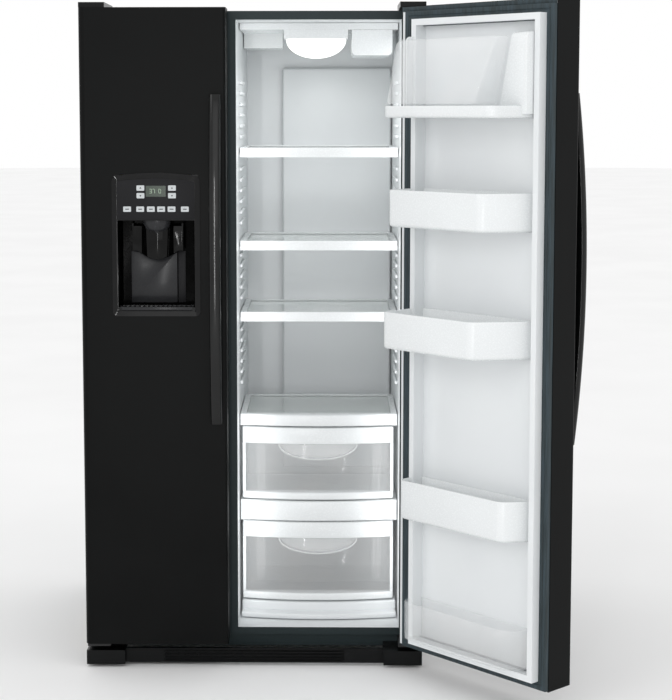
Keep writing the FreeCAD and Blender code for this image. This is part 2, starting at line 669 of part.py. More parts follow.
# ---------------------------------------------------------------- base
def make_base():
    """Steel base, levelling legs, rear rollers and the parts in the machine space."""
    rail_low = d["rail_bottom"]
    rail_top = d["case_bottom"]
    front = d["beam_front"]
    steel = d["base_wall"]
    beam_back = front + d["beam_depth"]
    inset = d["wheel_inset"]
    axle_y = d["case_depth"] - d["wheel_setback"]
    leg_x = half_width - d["leg_inset"]
    leg_y = d["leg_setback"]
    wheel_x = half_width - inset
    beam = box((steel - half_width, half_width - steel), (front, beam_back),
               (rail_low, rail_top - 1))
    beam_hollow = box((-half_width, half_width), (front + steel, beam_back - steel),
                      (rail_low - 1, rail_top - 1 - steel))
    pan = box((-half_width + 90, half_width - 90), (front + 60, d["case_depth"] - 4),
              (rail_low + 4, rail_low + 4 + steel))
    parts = [cut(beam, beam_hollow), pan]
    for side in (-1, 1):
        inner_rail = side * (wheel_x - d["wheel_width"] / 2 - 4)
        low = inner_rail - steel if side > 0 else inner_rail
        high = low + steel
        parts.append(box((low, high), (front + 60, d["case_depth"] - 4),
                         (rail_low - 24, rail_top - 1)))
        parts.append(box(
            ((low - 12) if side > 0 else (low - 2), (high + 2) if side > 0 else (high + 12)),
            (front + 60, d["case_depth"] - 4), (rail_low + 4, rail_low + 4 + steel)))
        parts.append(rod(
            "x", ((low - 1) if side > 0 else side * (wheel_x + d["wheel_width"] / 2 + 3),
                  axle_y, d["wheel_radius"]),
            d["axle_radius"], d["wheel_width"] + 11))
        parts.append(box((side * leg_x - 16, side * leg_x + 16), (leg_y - 16, leg_y + 16),
                         (rail_top - 12, rail_top - 1)))
    wheel_frame = fuse(*parts)
    holes = [rod("z", (side * leg_x, leg_y, 0), d["leg_radius"] + d["running_clearance"],
                 rail_top + 40) for side in (-1, 1)]
    keep("base_frame", cut(wheel_frame, *holes))
    collar_top = d["foot_height"] + d["collar_height"]
    for side, name in ((-1, "left"), (1, "right")):
        leg = new_body(f"levelling_leg_{name}")
        for part, radius, low, high in (
            ("foot", d["leg_foot_radius"], size(0), d["foot_height"]),
            ("collar", d["collar_radius"], d["foot_height"], collar_top),
            ("thread", d["leg_radius"], collar_top, rail_top - 2),
        ):
            section = new_sketch(leg, part, "XY_Plane", low)
            disc(section, (side * leg_x, leg_y), radius)
            pad(leg, section, high - low)
        keep(f"levelling_leg_{name}", leg, f"levelling_leg_{name}")
    wheels = []
    for side in (-1, 1):
        start = side * wheel_x - d["wheel_width"] / 2
        wheels.append(cut(
            rod("x", (start, axle_y, d["wheel_radius"]), d["wheel_radius"], d["wheel_width"]),
            rod("x", (start - 1, axle_y, d["wheel_radius"]),
                d["axle_radius"] + d["running_clearance"], d["wheel_width"] + 2)))
    keep("rear_rollers", group(*wheels), "rear_rollers")

    pump_x = half_width - d["compressor_inset"]
    pump_y = d["case_depth"] - d["compressor_setback"]
    pan_top = rail_low + 4 + steel
    pot_top = pan_top + d["compressor_middle"]
    domes = []
    for name, level in (("compressor_dome", pot_top + d["compressor_wall"]),
                        ("compressor_pot", pot_top)):
        end = doc.addObject("Part::Ellipsoid", name)
        end.setExpression("Radius1", d[name].text)
        end.setExpression("Radius2", d["compressor_wide"].text)
        end.setExpression("Radius3", d["compressor_radius"].text)
        domes.append(seat(end, "z", (pump_x, pump_y, level)))
    middle = rod("z", (pump_x, pump_y, pot_top), d["compressor_radius"], d["compressor_wall"])
    feet = [rod("z", (pump_x + 78 * a, pump_y + 62 * b, pan_top), 11, 24)
            for a in (-1, 1) for b in (-1, 1)]
    plate = box((pump_x - 96, pump_x + 96), (pump_y - 76, pump_y + 76),
                (pan_top + 18, pan_top + 21))
    keep("compressor", fuse(*domes, middle, plate, *feet))

    rows = []
    for row in range(CONDENSER_ROWS):
        rows += [rod("x", (-half_width + 110, machine_front + 60 + 36 * column,
                           pan_top + 30 + 34 * row), 4, 210)
                 for column in range(CONDENSER_COLUMNS)]
    coil_fins = [box((-half_width + 120 + 16 * n, -half_width + 121 + 16 * n),
                     (machine_front + 48, machine_front + 180),
                     (pan_top, pan_top + 180)) for n in range(CONDENSER_FINS)]
    coil = fuse(*rows, *coil_fins)

    fan_x = -half_width + 400
    fan_z = pan_top + 95
    fan_y = machine_front + 118
    bracket = fuse(
        box((fan_x + 34, fan_x + 38), (fan_y - 60, fan_y + 60), (pan_top, pan_top + 110)),
        rod("x", (fan_x - 6, fan_y, fan_z), d["fan_shaft_radius"], 42),
    )
    keep("condenser_coil", group(coil, bracket))
    make_fan("condenser_fan", "x", (fan_x - 10, fan_y, fan_z))

    inlet_x, inlet_z = inlet_place()
    outside = d["case_depth"]
    keep("water_inlet_valve", fuse(
        box((inlet_x - 24, inlet_x + 24), (outside - 70, outside - 2),
            (inlet_z - 30, inlet_z + 34)),
        rod("y", (inlet_x, outside - 3, inlet_z), d["inlet_radius"] + 1, 4),
        rod("y", (inlet_x, outside + 0.5, inlet_z), d["inlet_radius"] + 4, 3),
        rod("y", (inlet_x, outside + 3, inlet_z), d["inlet_radius"],
            d["inlet_length"] + 0.5),
    ))


def make_grille():
    """Toe grille with horizontal slats between two solid corner covers."""
    low, high = d["grille_bottom"], d["grille_top"]
    edge = half_width - d["corner_cover_width"]
    front = -d["grille_front"]
    middle = cut(
        box((-edge - 2, edge + 2), (front, front + 12), (low, high)),
        box((-edge + 106, edge - 106), (front - 1, front + 9), (low + 5, high - 4)),
    )
    slats = [box((-edge + 104, edge - 104), (front + 1, front + 8),
                 (low + 9 + 9 * n, low + 12 + 9 * n)) for n in range(GRILLE_SLATS)]
    corners = [
        cut(
            box((start, start + d["corner_cover_width"]), (-d["cover_front"], 4), (low, high)),
            box((start + (4 if side < 0 else -1),
                 start + d["corner_cover_width"] + (1 if side < 0 else -4)),
                (4 - d["cover_front"], 5), (low - 1, high - 4)),
        )
        for side, start in ((-1, -half_width), (1, edge))
    ]
    keep("base_grille", fuse(middle, *slats, *corners))


def make_hinges():
    """Top plates and bottom brackets, each with the pin its door turns on."""
    parts, covers = [], []
    grip = d["pin_depth"]
    for side in (-1, 1):
        x = side * pin_x
        low, high = ((x - 50, x + 12) if side > 0 else (x - 12, x + 50))
        plate_low = door_top + 1.5
        parts.append(fuse(
            box((low, high), (pin_y - 14, 92), (plate_low, plate_low + 4)),
            box((low, high), (10, 92), (case_top, plate_low + 1)),
            rod("z", (x, pin_y, door_top - grip), d["pin_radius"], grip + 5)))
        bracket_top = d["door_bottom"] - 5
        parts.append(fuse(
            box((low, high), (pin_y - 14, 7.5), (bracket_top - 8, bracket_top)),
            rod("z", (x, pin_y, bracket_top - 1), d["pin_radius"], grip + 6)))
        covers.append(cut(
            fuse(
                box((low - 3, high + 3), (pin_y - 17, 98),
                    (door_top + 0.8, door_top + 14.5)),
                box((low - 3, high + 3), (3, 98), (case_top + 0.3, door_top + 3))),
            box((low - 0.2, high + 0.2), (pin_y - 14.2, 95),
                (case_top - 1, door_top + 12)),
        ))
    keep("hinges", group(*parts))
    keep("hinge_covers", group(*covers))


# ---------------------------------------------------------------- doors
def door_shell(name, low, high, hinge_side, notch=None):
    """A steel pan: front, sides and end caps, open at the back."""
    body = new_body(name)
    plan = new_sketch(body, "plan", "XY_Plane", d["door_bottom"])
    outline(plan, [(low, door_front), (high, door_front), (high, door_back), (low, door_back)])
    pad(body, plan, door_top - d["door_bottom"])
    outer = high if hinge_side > 0 else low
    inner = low if hinge_side > 0 else high

    def front_corner(edge, side):
        spot = edge.CenterOfMass
        return runs_along(edge, "z") and near(spot.y, door_front) and near(spot.x, side)

    fillet(body, d["outer_corner"], lambda e: front_corner(e, outer))
    fillet(body, d["inner_corner"], lambda e: front_corner(e, inner))
    skin = d["door_skin"]
    hollow = new_sketch(body, "hollow", "XY_Plane", d["door_bottom"] + skin)
    cut_outer = d["outer_corner"] - skin
    cut_inner = d["inner_corner"] - skin
    left_cut = cut_inner if hinge_side > 0 else cut_outer
    right_cut = cut_outer if hinge_side > 0 else cut_inner
    soften = 1 - math.sqrt(0.5)
    outline(hollow, [
        (low + skin, door_front + skin + left_cut),
        (low + skin + left_cut * soften, door_front + skin + left_cut * soften),
        (low + skin + left_cut, door_front + skin),
        (high - skin - right_cut, door_front + skin),
        (high - skin - right_cut * soften, door_front + skin + right_cut * soften),
        (high - skin, door_front + skin + right_cut),
        (high - skin, door_back + 1), (low + skin, door_back + 1)])
    pocket(body, hollow, door_top - d["door_bottom"] - skin - skin, back=True)
    pins = new_sketch(body, "pin_holes", "XY_Plane", door_top + 1)
    disc(pins, (hinge_side * pin_x, pin_y), d["pin_radius"] + d["pin_clearance"])
    pocket(body, pins, door_top - d["door_bottom"] + 2)
    if notch:
        opening = new_sketch(body, "dispenser_opening", "XZ_Plane", 1 - door_front)
        (left, right), (bottom, top) = notch
        outline(opening, [(left, bottom), (right, bottom), (right, top), (left, top)])
        pocket(body, opening, skin + 6)
    return body


def door_set(name, low, high, hinge_side, notch=None):
    """One door: shell, foam, inner liner with its raised dike, and gasket."""
    moving = f"{name}_door"
    skin = d["door_skin"]
    bottom, top = d["door_bottom"], door_top
    keep(f"{name}_door_panel", door_shell(f"{name}_door_panel", low, high, hinge_side, notch),
         moving)

    wall = d["liner_wall"]
    if name == "fridge":
        ring_low, ring_high = mullion_right + d["dike_margin"], right_opening - d["dike_margin"]
    else:
        ring_low, ring_high = left_opening + d["dike_margin"], mullion_left - d["dike_margin"]
    width = d["dike_width"]
    bars = {
        "left": ((ring_low, ring_low + width), (dike_low, dike_high)),
        "right": ((ring_high - width, ring_high), (dike_low, dike_high)),
        "base": ((ring_low, ring_high), (dike_low, dike_low + width)),
        "head": ((ring_low, ring_high), (dike_high - width, dike_high)),
    }
    sheet_front = door_back - wall
    liner = fuse(
        box((low + skin, high - skin), (sheet_front, door_back), (bottom + skin, top - skin)),
        *[box(x, (sheet_front, dike_back), z) for x, z in bars.values()])
    hollows = [
        box((x[0] + wall, x[1] - wall), (sheet_front - 1, dike_back - wall),
            (z[0] + wall, z[1] - wall)) for x, z in bars.values()]
    pin_room = rod("z", (hinge_side * pin_x, pin_y, bottom - 1),
                   d["pin_radius"] + d["pin_clearance"], top - bottom + 2)
    keep(f"{name}_door_liner", cut(liner, *hollows), moving)

    foam_front = door_front + skin
    corner_room = d["outer_corner"]
    foam = fuse(
        box((low + skin, high - skin), (foam_front + corner_room, sheet_front),
            (bottom + skin, top - skin)),
        box((low + d["outer_corner"], high - d["outer_corner"]), (foam_front, door_back - 20),
            (bottom + skin, top - skin)),
        *[box((x[0] + wall, x[1] - wall), (sheet_front - 1, dike_back - wall),
              (z[0] + wall, z[1] - wall)) for x, z in bars.values()])
    tools = [pin_room]
    if notch:
        (left, right), (under, over) = notch
        tools.append(box((left, right), (door_front, door_front + d["niche_depth"] + 8),
                         (under, over)))
    keep(f"{name}_door_foam", cut(foam, *tools), moving)

    reach = d["gasket_edge"]
    frame_low = low + reach if name == "fridge" else low + reach + 19
    frame_high = high - reach - 19 if name == "fridge" else high - reach
    seal_bottom = opening_bottom - 14
    seal_top = opening_top + 14
    seal = d["gasket_width"]
    keep(f"{name}_door_gasket", cut(
        box((frame_low, frame_high), (door_back, -0.5), (seal_bottom, seal_top)),
        box((ring_low - 3, ring_high + 3), (door_back - 1, 1),
            (seal_bottom + seal * 0.55, seal_top - seal * 0.55)),
    ), moving)


def make_handle(name, centre, moving):
    """A bowed bar that stands off the door and meets it at both ends."""
    low = d["handle_low"]
    high = door_top - d["handle_top_drop"]
    foot = d["handle_foot"]
    half = d["handle_width"] / 2

    side = float(centre - half)
    middle = float(low + high) / 2
    face = float(door_front)
    end_thickness = d["handle_end"]

    def bowed_plate(x, width, first, last, start, reach):
        """A plate between the door's face and an arc that stands off it."""
        ends = [V(x, face - float(start), float(z)) for z in (first, last)]
        feet = [V(x, face, float(z)) for z in (first, last)]
        arc = Part.Arc(ends[0], V(x, face - float(reach), middle), ends[1]).toShape()
        edges = [arc, Part.makeLine(feet[1], feet[0])]
        if float(start) > 0:
            edges += [Part.makeLine(ends[1], feet[1]), Part.makeLine(feet[0], ends[0])]
        rim = Part.Wire(Part.__sortEdges__(edges))
        return Part.Face(rim).extrude(V(float(width), 0, 0))

    bar = bowed_plate(side, d["handle_width"], low, high, end_thickness, d["handle_reach"])
    gap = bowed_plate(side - 1, d["handle_width"] + 2, low + foot, high - foot, 0,
                      d["handle_gap"])
    shape = bar.cut(gap).removeSplitter()
    handle = doc.addObject("Part::Feature", name)
    handle.Shape = shape
    keep(name, handle, moving)


def bin_plan(depth, inset):
    """Plan of a door bin: a tongue between the dikes, then the full width."""
    low = mullion_right + d["dike_margin"] + d["dike_width"] + 2.5 + inset
    high = right_opening - d["dike_margin"] - d["dike_width"] - 2.5 - inset
    wide = right_opening - d["bin_hinge_margin"] - inset
    step = dike_back + 1.5 + inset
    front = depth - inset
    slant = depth * 0.72
    return [
        (low, door_back + 2 + inset), (high, door_back + 2 + inset), (high, step),
        (wide, step), (wide, front), (low + slant, front),
        (low + 2, step + 6)]


def door_bin(name, bottom, height, depth):
    """An open bin that hangs between the dikes and lifts off."""
    body = new_body(name)
    plan = new_sketch(body, "bin_plan", "XY_Plane", bottom)
    outline(plan, bin_plan(depth, size(0)))
    pad(body, plan, height)
    fillet(body, 7, lambda e: runs_along(e, "z") and e.CenterOfMass.y > float(depth) - 1)
    hollow = new_sketch(body, "bin_hollow", "XY_Plane", bottom + height)
    outline(hollow, bin_plan(depth, d["bin_wall"]))
    pocket(body, hollow, height - d["bin_wall"])
    keep(name, body, name)


def make_dairy():
    """Covered shelf at the top of the fresh food door."""
    low = mullion_right + d["dike_margin"] + d["dike_width"] + 2.5
    high = right_opening - d["dike_margin"] - d["dike_width"] - 2.5
    wide = right_opening - d["bin_hinge_margin"]
    bottom = case_top - d["dairy_bottom_drop"]
    floor_top = bottom + 16
    step = dike_back + 1.5
    top = case_top - d["dairy_top_drop"]
    keep("dairy_shelf", fuse(
        box((low, high), (door_back + 2, step + 1), (bottom, floor_top)),
        box((low + 10, wide), (step, d["dairy_depth"]), (bottom, floor_top)),
        box((low + 10, wide), (d["dairy_depth"] - 4, d["dairy_depth"]), (bottom, bottom + 30)),
        box((low, low + 4), (door_back + 2, step + 14), (bottom, top)),
        box((high - 4, high), (door_back + 2, step + 14), (bottom, top)),
    ), "fridge_door")
    thickness = 3
    run = float(d["dairy_depth"] - 10) - float(d["dairy_top_depth"])
    fall = float(top) - float(bottom) - 34
    left, right = float(low) + 12, float(wide) - 2
    y_top, z_top = float(d["dairy_top_depth"]), float(top)
    y_low, z_low = y_top + run, z_top - fall
    profile = [
        V(left, float(step) + 16, z_top), V(left, y_top, z_top), V(left, y_low, z_low),
        V(left, y_low - thickness, z_low), V(left, y_top - thickness, z_top - thickness),
        V(left, float(step) + 16, z_top - thickness)]
    cover = doc.addObject("Part::Feature", "dairy_cover")
    cover.Shape = Part.Face(Part.makePolygon(profile + profile[:1])).extrude(
        V(right - left, 0, 0))
    keep("dairy_cover", cover, "dairy_cover")


# ---------------------------------------------------------------- dispenser
def button_places():
    """Name, middle X and middle Z of each button, about the bezel's centre."""
    panel_low = d["niche_bottom"] + d["niche_height"]
    centre = d["bezel_centre"]
    row = panel_low + 29.5
    names = ("lock_button", "filter_button", "water_button", "crushed_ice_button",
             "cubed_ice_button", "light_button")
    offsets = (-75.5, -41, -13, 14, 41.5, 76.5)
    places = {name: (centre + x, row) for name, x in zip(names, offsets)}
    for side, x in (("fridge", 43), ("freezer", -40)):
        places[f"{side}_warmer_button"] = (centre + x, panel_low + 65)
        places[f"{side}_colder_button"] = (centre + x, panel_low + 85)
    return places


def make_dispenser():
    centre = d["bezel_centre"]
    half = d["bezel_width"] / 2
    low, high = d["bezel_bottom"], d["bezel_bottom"] + d["bezel_height"]
    niche_half = d["niche_width"] / 2
    niche_low = d["niche_bottom"]
    niche_high = niche_low + d["niche_height"]
    back = bezel_front + d["niche_depth"]
    flange = round_edges(
        box((centre - half, centre + half), (bezel_front, door_front), (low, high)),
        d["bezel_corner"], lambda e: runs_along(e, "y"))
    tub = box((centre - half + 5, centre + half - 5), (door_front - 1, back + 3),
              (low + 5, high - 5))
    niche = box((centre - niche_half, centre + niche_half), (bezel_front - 1, back),
                (niche_low, niche_high))
    panel_recess = box((centre - niche_half, centre + niche_half),
                       (bezel_front - 1, bezel_front + 2),
                       (niche_high - 1, niche_high + d["panel_height"]))
    face = bezel_front + 2
    room = d["button_gap"]
    wide, tall = d["button_width"] / 2, d["button_height"] / 2
    sockets = [
        box((x - wide - room, x + wide + room), (face - 1, face + d["button_depth"] + 2),
            (z - tall - room, z + tall + room)) for x, z in button_places().values()]
    shown = d["display_width"] / 2
    window_low = niche_high + 62
    window = box((centre - shown, centre + shown), (face - 1, face + 3),
                 (window_low, window_low + d["display_height"]))
    housing = cut(fuse(flange, tub), niche, panel_recess, window, *sockets)
    nozzle_y = bezel_front + 27
    nozzle = fuse(
        cone("z", (centre, nozzle_y, niche_high - 30), 18, 25.5, 29.8),
        rod("z", (centre, nozzle_y, niche_high - 54), 9.5, 26))
    tray = cut(
        box((centre - niche_half + 1, centre + niche_half - 1), (bezel_front + 1, back - 1),
            (niche_low + 0.2, niche_low + 9)),
        box((centre - niche_half + 5, centre + niche_half - 5), (bezel_front + 5, back - 5),
            (niche_low + 4, niche_low + 10)))
    keep("dispenser_housing", group(housing, nozzle, tray), "freezer_door")
    keep("dispenser_display", group(box(
        (centre - shown + 0.2, centre + shown - 0.2), (face + 0.4, face + 2.9),
        (window_low + 0.2, window_low + d["display_height"] - 0.2))), "freezer_door")

    paddle = new_body("dispenser_paddle")
    plate_y = bezel_front + 44
    side = d["paddle_width"] / 2
    top = niche_high - 32
    base = top - d["paddle_height"]
    face_plan = new_sketch(paddle, "paddle_face", "XZ_Plane", -plate_y)
    outline(face_plan, [
        (centre - side, top - 19), (centre - side * 0.5, top - 5), (centre, top),
        (centre + side * 0.5, top - 5), (centre + side, top - 19),
        (centre + side, base + 19), (centre + side * 0.5, base + 5), (centre, base),
        (centre - side * 0.5, base + 5), (centre - side, base + 19)])
    pad(paddle, face_plan, d["paddle_thickness"], back=True)
    for arm_middle in (centre - side * 0.72, centre + side * 0.72):
        arm = new_sketch(paddle, "paddle_arm", "XZ_Plane", -plate_y)
        outline(arm, [(arm_middle - 5, top - 24), (arm_middle + 5, top - 24),
                      (arm_middle + 5, niche_high - 4), (arm_middle - 5, niche_high - 4)])
        pad(paddle, arm, d["paddle_thickness"], back=True)
    keep("dispenser_paddle", paddle, "dispenser_paddle")

    for name, (x, z) in button_places().items():
        cap = new_body(name)
        cap_face = new_sketch(cap, "cap", "XZ_Plane", d["button_proud"] - face)
        outline(cap_face, [(x - wide, z - tall), (x + wide, z - tall),
                           (x + wide, z + tall), (x - wide, z + tall)])
        pad(cap, cap_face, d["button_depth"], back=True)
        fillet(cap, 2, lambda e: runs_along(e, "y"))
        keep(name, cap, name)


def make_freezer_bins():
    """Bins on the inside of the freezer door, fixed between its dikes."""
    low = left_opening + d["dike_margin"] + d["dike_width"] + 2
    high = mullion_left - d["dike_margin"] - d["dike_width"] - 2
    wall = d["bin_wall"]
    levels = [dike_low + 30, hump_top + 60, hump_top + 330, opening_top - 330]
    bins = []
    depth, height = d["freezer_bin_depth"], d["freezer_bin_height"]
    clear_of_mullion = high - d["freezer_bin_relief"]
    for level in levels:
        bins.append(cut(
            fuse(
                box((low, clear_of_mullion), (door_back + 0.5, depth), (level, level + height)),
                box((low, high), (door_back + 0.5, dike_back), (level, level + height))),
            box((low + wall, clear_of_mullion - wall), (door_back + wall, depth - wall),
                (level + wall, level + height + 1))))
    keep("freezer_door_bins", group(*bins), "freezer_door")


# ---------------------------------------------------------------- assembly
make_case()
make_shelves()
drawer("crisper_drawer", d["upper_drawer_bottom"], d["upper_drawer_top"])
drawer("lower_drawer", d["lower_drawer_bottom"], d["lower_drawer_top"])
make_ceiling()
make_freezer()
make_base()
make_grille()
make_hinges()

half_bezel = d["bezel_width"] / 2 - 5
door_set("fridge", fridge_free, half_width, 1)
door_set("freezer", -half_width, freezer_free, -1, (
    (d["bezel_centre"] - half_bezel, d["bezel_centre"] + half_bezel),
    (d["bezel_bottom"] + 5, d["bezel_bottom"] + d["bezel_height"] - 5)))
handle_half = d["handle_width"] / 2
make_handle("fridge_door_handle", fridge_free + d["handle_inset"] + handle_half, "fridge_door")
make_handle("freezer_door_handle", freezer_free - d["handle_inset"] - handle_half,
            "freezer_door")
make_dairy()
door_bin("door_bin_upper", case_top - d["upper_bin_drop"], d["upper_bin_height"],
         d["upper_bin_depth"])
door_bin("door_bin_middle", d["middle_bin_bottom"], d["middle_bin_height"],
         d["middle_bin_depth"])
door_bin("door_bin_lower", d["lower_bin_bottom"], d["lower_bin_height"],
         d["lower_bin_depth"])
door_bin("door_bin_clear", d["clear_bin_bottom"], d["clear_bin_height"],
         d["clear_bin_depth"])
make_dispenser()
make_freezer_bins()
doc.recompute()

ON_FRIDGE_DOOR = ("fridge_door", "dairy_cover", "door_bin_upper", "door_bin_middle",
                  "door_bin_lower", "door_bin_clear")


def place_nodes():
    """Opens the fridge door to its stop and moves the origin under the object."""
    pin = V(float(pin_x), float(pin_y), 0)
    swing = FreeCAD.Rotation(V(0, 0, 1), float(d["open_angle"]))
    opened = FreeCAD.Placement(pin, swing).multiply(FreeCAD.Placement(-pin, FreeCAD.Rotation()))
    whole = FreeCAD.BoundBox()
    for piece, body in NODES.values():
        shape = piece.Shape.copy()
        if body in ON_FRIDGE_DOOR:
            shape = shape.transformed(opened.toMatrix(), True)
        whole.add(shape.optimalBoundingBox(False))
    shift = V(-(whole.XMin + whole.XMax) / 2, -(whole.YMin + whole.YMax) / 2, -whole.ZMin)
    moved = FreeCAD.Placement(shift, FreeCAD.Rotation())
    for piece, body in NODES.values():
        piece.Placement = moved.multiply(opened) if body in ON_FRIDGE_DOOR else moved
    doc.recompute()
    print("bounding box", whole)
    print("origin shift", round(shift.x, 4), round(shift.y, 4), round(shift.z, 4))


def check_all():
    """Stops if any object failed or any sub-part isn't a sound solid."""
    for thing in doc.Objects:
        if "Invalid" in thing.State or "Error" in thing.State:
            raise ValueError(f"{thing.Label} failed: {thing.State}")
    for name, (piece, _) in NODES.items():
        if piece.Shape.isNull() or not piece.Shape.isValid() or not piece.Shape.Solids:
            raise ValueError(f"{name} isn't a sound solid")


place_nodes()
check_all()
os.makedirs("parts", exist_ok=True)
for node_name, (node_piece, _) in NODES.items():
    node_piece.Shape.exportStep(f"parts/{node_name}.step")
print(len(NODES), "nodes written")
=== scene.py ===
# %% [markdown]
# # Side by side refrigerator: the look
# The CAD frame already holds every part at its true size: case, doors, shelves, drawers, hinges.
# This lesson gives the parts their real finishes, models again the moulded pieces whose soft shapes
# a plain solid only hints at, and lights the whole thing like a catalogue picture.

import json
import math

import bpy
from mathutils import Matrix, Vector


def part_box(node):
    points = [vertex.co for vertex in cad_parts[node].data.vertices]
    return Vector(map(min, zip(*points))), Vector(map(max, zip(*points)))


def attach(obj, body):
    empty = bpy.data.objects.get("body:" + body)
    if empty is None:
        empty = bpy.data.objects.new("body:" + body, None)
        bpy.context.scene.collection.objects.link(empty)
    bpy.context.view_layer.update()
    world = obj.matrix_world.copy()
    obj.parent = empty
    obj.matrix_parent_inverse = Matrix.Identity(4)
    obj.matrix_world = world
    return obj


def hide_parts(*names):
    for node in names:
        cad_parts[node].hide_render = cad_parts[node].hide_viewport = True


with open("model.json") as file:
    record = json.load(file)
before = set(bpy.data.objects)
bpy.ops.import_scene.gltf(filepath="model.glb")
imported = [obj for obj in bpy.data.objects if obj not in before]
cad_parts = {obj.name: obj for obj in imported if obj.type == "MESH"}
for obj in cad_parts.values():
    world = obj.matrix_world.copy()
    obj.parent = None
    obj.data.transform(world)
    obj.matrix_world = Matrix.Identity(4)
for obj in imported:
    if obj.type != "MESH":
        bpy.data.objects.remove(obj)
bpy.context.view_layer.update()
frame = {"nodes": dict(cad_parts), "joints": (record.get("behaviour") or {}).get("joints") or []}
bpy.ops.object.select_all(action="DESELECT")

# %% [markdown]
# ## Lengths
# Plastic walls, rims and gaps are easiest to think of in millimetres, while the scene is in metres.

# %% Millimetres
MM = 0.001
SAME_ROW = 0.02 * MM     # points this close along X belong to one row
print("one millimetre is", MM, "scene units")

# %% [markdown]
# ## The door that stands open
# The fresh food door is at rest in its open place. A piece on it is easiest to model with the door
# shut, square to the axes, and is then swung out about the hinge pin. The pin and the angle come
# from the hinge itself, and a node's size with the door shut comes from turning its points back.

# %% The hinge pin and the opening angle
joints = {j["name"]: j for j in frame["joints"]}
hinge = joints["fridge_door_hinge"]
door_pin = Vector(hinge["pos_m"])
door_angle = math.radians(abs(hinge["range_deg"][0]))
swing = (Matrix.Translation(door_pin) @ Matrix.Rotation(door_angle, 4, "Z")
         @ Matrix.Translation(-door_pin))
print("door open by", round(math.degrees(door_angle), 1), "degrees about", list(door_pin))


def shut_box(node):
    """Lowest and highest corner of a node of the open door, with the door turned shut."""
    back = swing.inverted()
    points = [back @ v.co for v in frame["nodes"][node].data.vertices]
    low = Vector([min(p[i] for p in points) for i in range(3)])
    high = Vector([max(p[i] for p in points) for i in range(3)])
    return low, high


def square_box(node, opened):
    """Lowest and highest corner of a node, turned shut first if it is on the open door."""
    return shut_box(node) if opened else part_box(node)


# %% [markdown]
# ## A small tool for materials
# Colours are written as they would be picked on a screen and turned to linear light. Every node of
# a material is added by one function, which takes its settings and what is linked into it.

# %% Colour and node helpers
def linear(hex_colour):
    """An sRGB colour such as "#1a1b1c" as linear red, green, blue and alpha."""
    channels = [int(hex_colour[i:i + 2], 16) / 255 for i in (1, 3, 5)]
    return [c / 12.92 if c <= 0.04045 else ((c + 0.055) / 1.055) ** 2.4
            for c in channels] + [1.0]


def add_node(tree, kind, settings=None, **inputs):
    """One shader node. settings are its own properties; inputs are values or sockets by name."""
    node = tree.nodes.new(kind)
    for key, value in (settings or {}).items():
        setattr(node, key, value)
    for key, value in inputs.items():
        socket = node.inputs[key.replace("_", " ")] if not key.startswith("i_") \
            else node.inputs[int(key[2:])]
        if isinstance(value, bpy.types.NodeSocket):
            tree.links.new(value, socket)
        else:
            socket.default_value = value
    return node


def new_material(name, **shader):
    """A material with one principled shader. Returns it, its tree and the shader."""
    material = bpy.data.materials.new(name)
    material.use_nodes = True
    tree = material.node_tree
    shader_node = next(n for n in tree.nodes if n.type == "BSDF_PRINCIPLED")
    for key, value in shader.items():
        shader_node.inputs[key.replace("_", " ")].default_value = value
    return material, tree, shader_node


def noise(tree, size_mm, detail=2.0, stretch=(1, 1, 1)):
    """Noise whose lumps are about size_mm across, in the piece's own metres."""
    place = add_node(tree, "ShaderNodeTexCoord")
    spread = add_node(tree, "ShaderNodeMapping", Vector=place.outputs["Object"],
                      Scale=stretch)
    return add_node(tree, "ShaderNodeTexNoise", Vector=spread.outputs["Vector"],
                    Scale=1 / (size_mm * MM), Detail=detail)


def tint(tree, shader, factor, low_colour, high_colour, low=0.35, high=0.65):
    """The base colour runs between two colours with factor."""
    ramp = add_node(tree, "ShaderNodeMapRange", Value=factor, From_Min=low, From_Max=high)
    mix = add_node(tree, "ShaderNodeMix", {"data_type": "RGBA"}, Factor=ramp.outputs["Result"],
                   i_6=linear(low_colour), i_7=linear(high_colour))
    tree.links.new(mix.outputs[2], shader.inputs["Base Color"])


def rough_range(tree, shader, factor, low, high):
    """The roughness runs between two values with factor."""
    ramp = add_node(tree, "ShaderNodeMapRange", Value=factor, From_Min=0.3, From_Max=0.7,
                    To_Min=low, To_Max=high)
    tree.links.new(ramp.outputs["Result"], shader.inputs["Roughness"])


def bump(tree, shader, height, depth_mm, strength=1.0):
    """Small relief, depth_mm deep."""
    relief = add_node(tree, "ShaderNodeBump", Height=height, Distance=depth_mm * MM,
                      Strength=strength)
    tree.links.new(relief.outputs["Normal"], shader.inputs["Normal"])


print("helpers ready; black enamel is", [round(c, 4) for c in linear("#1a1b1c")[:3]])

# %% [markdown]
# ## Black enamel on the doors and case
# The outside is cold rolled steel with a baked black enamel, rolled with a shallow pebble so that
# fingerprints don't show. The pebble is under a millimetre; here it is drawn 1.6 mm wide so that it
# survives at this distance. It breaks up the gloss without changing the colour.

# %% Black enamel
def make_enamel():
    material, tree, shader = new_material("black enamel on steel", IOR=1.5,
                                          Specular_IOR_Level=0.09)
    pebble = noise(tree, 1.6, 1.0)
    broad = noise(tree, 260, 2.0)
    tint(tree, shader, broad.outputs["Fac"], "#070808", "#0b0c0c")
    rough_range(tree, shader, broad.outputs["Fac"], 0.34, 0.42)
    bump(tree, shader, pebble.outputs["Fac"], 0.05, 0.5)
    return material


enamel = make_enamel()
print(enamel.name)

# %% [markdown]
# ## Dark trim, door seals and black plastics
# The frame round the openings is painted a slightly green charcoal, and the seal is extruded vinyl
# with a soft sheen. Handles, grille and hinge covers are ABS moulded in a lightly sparked tool; the
# dispenser is the same ABS from a polished tool, so it is much glossier.

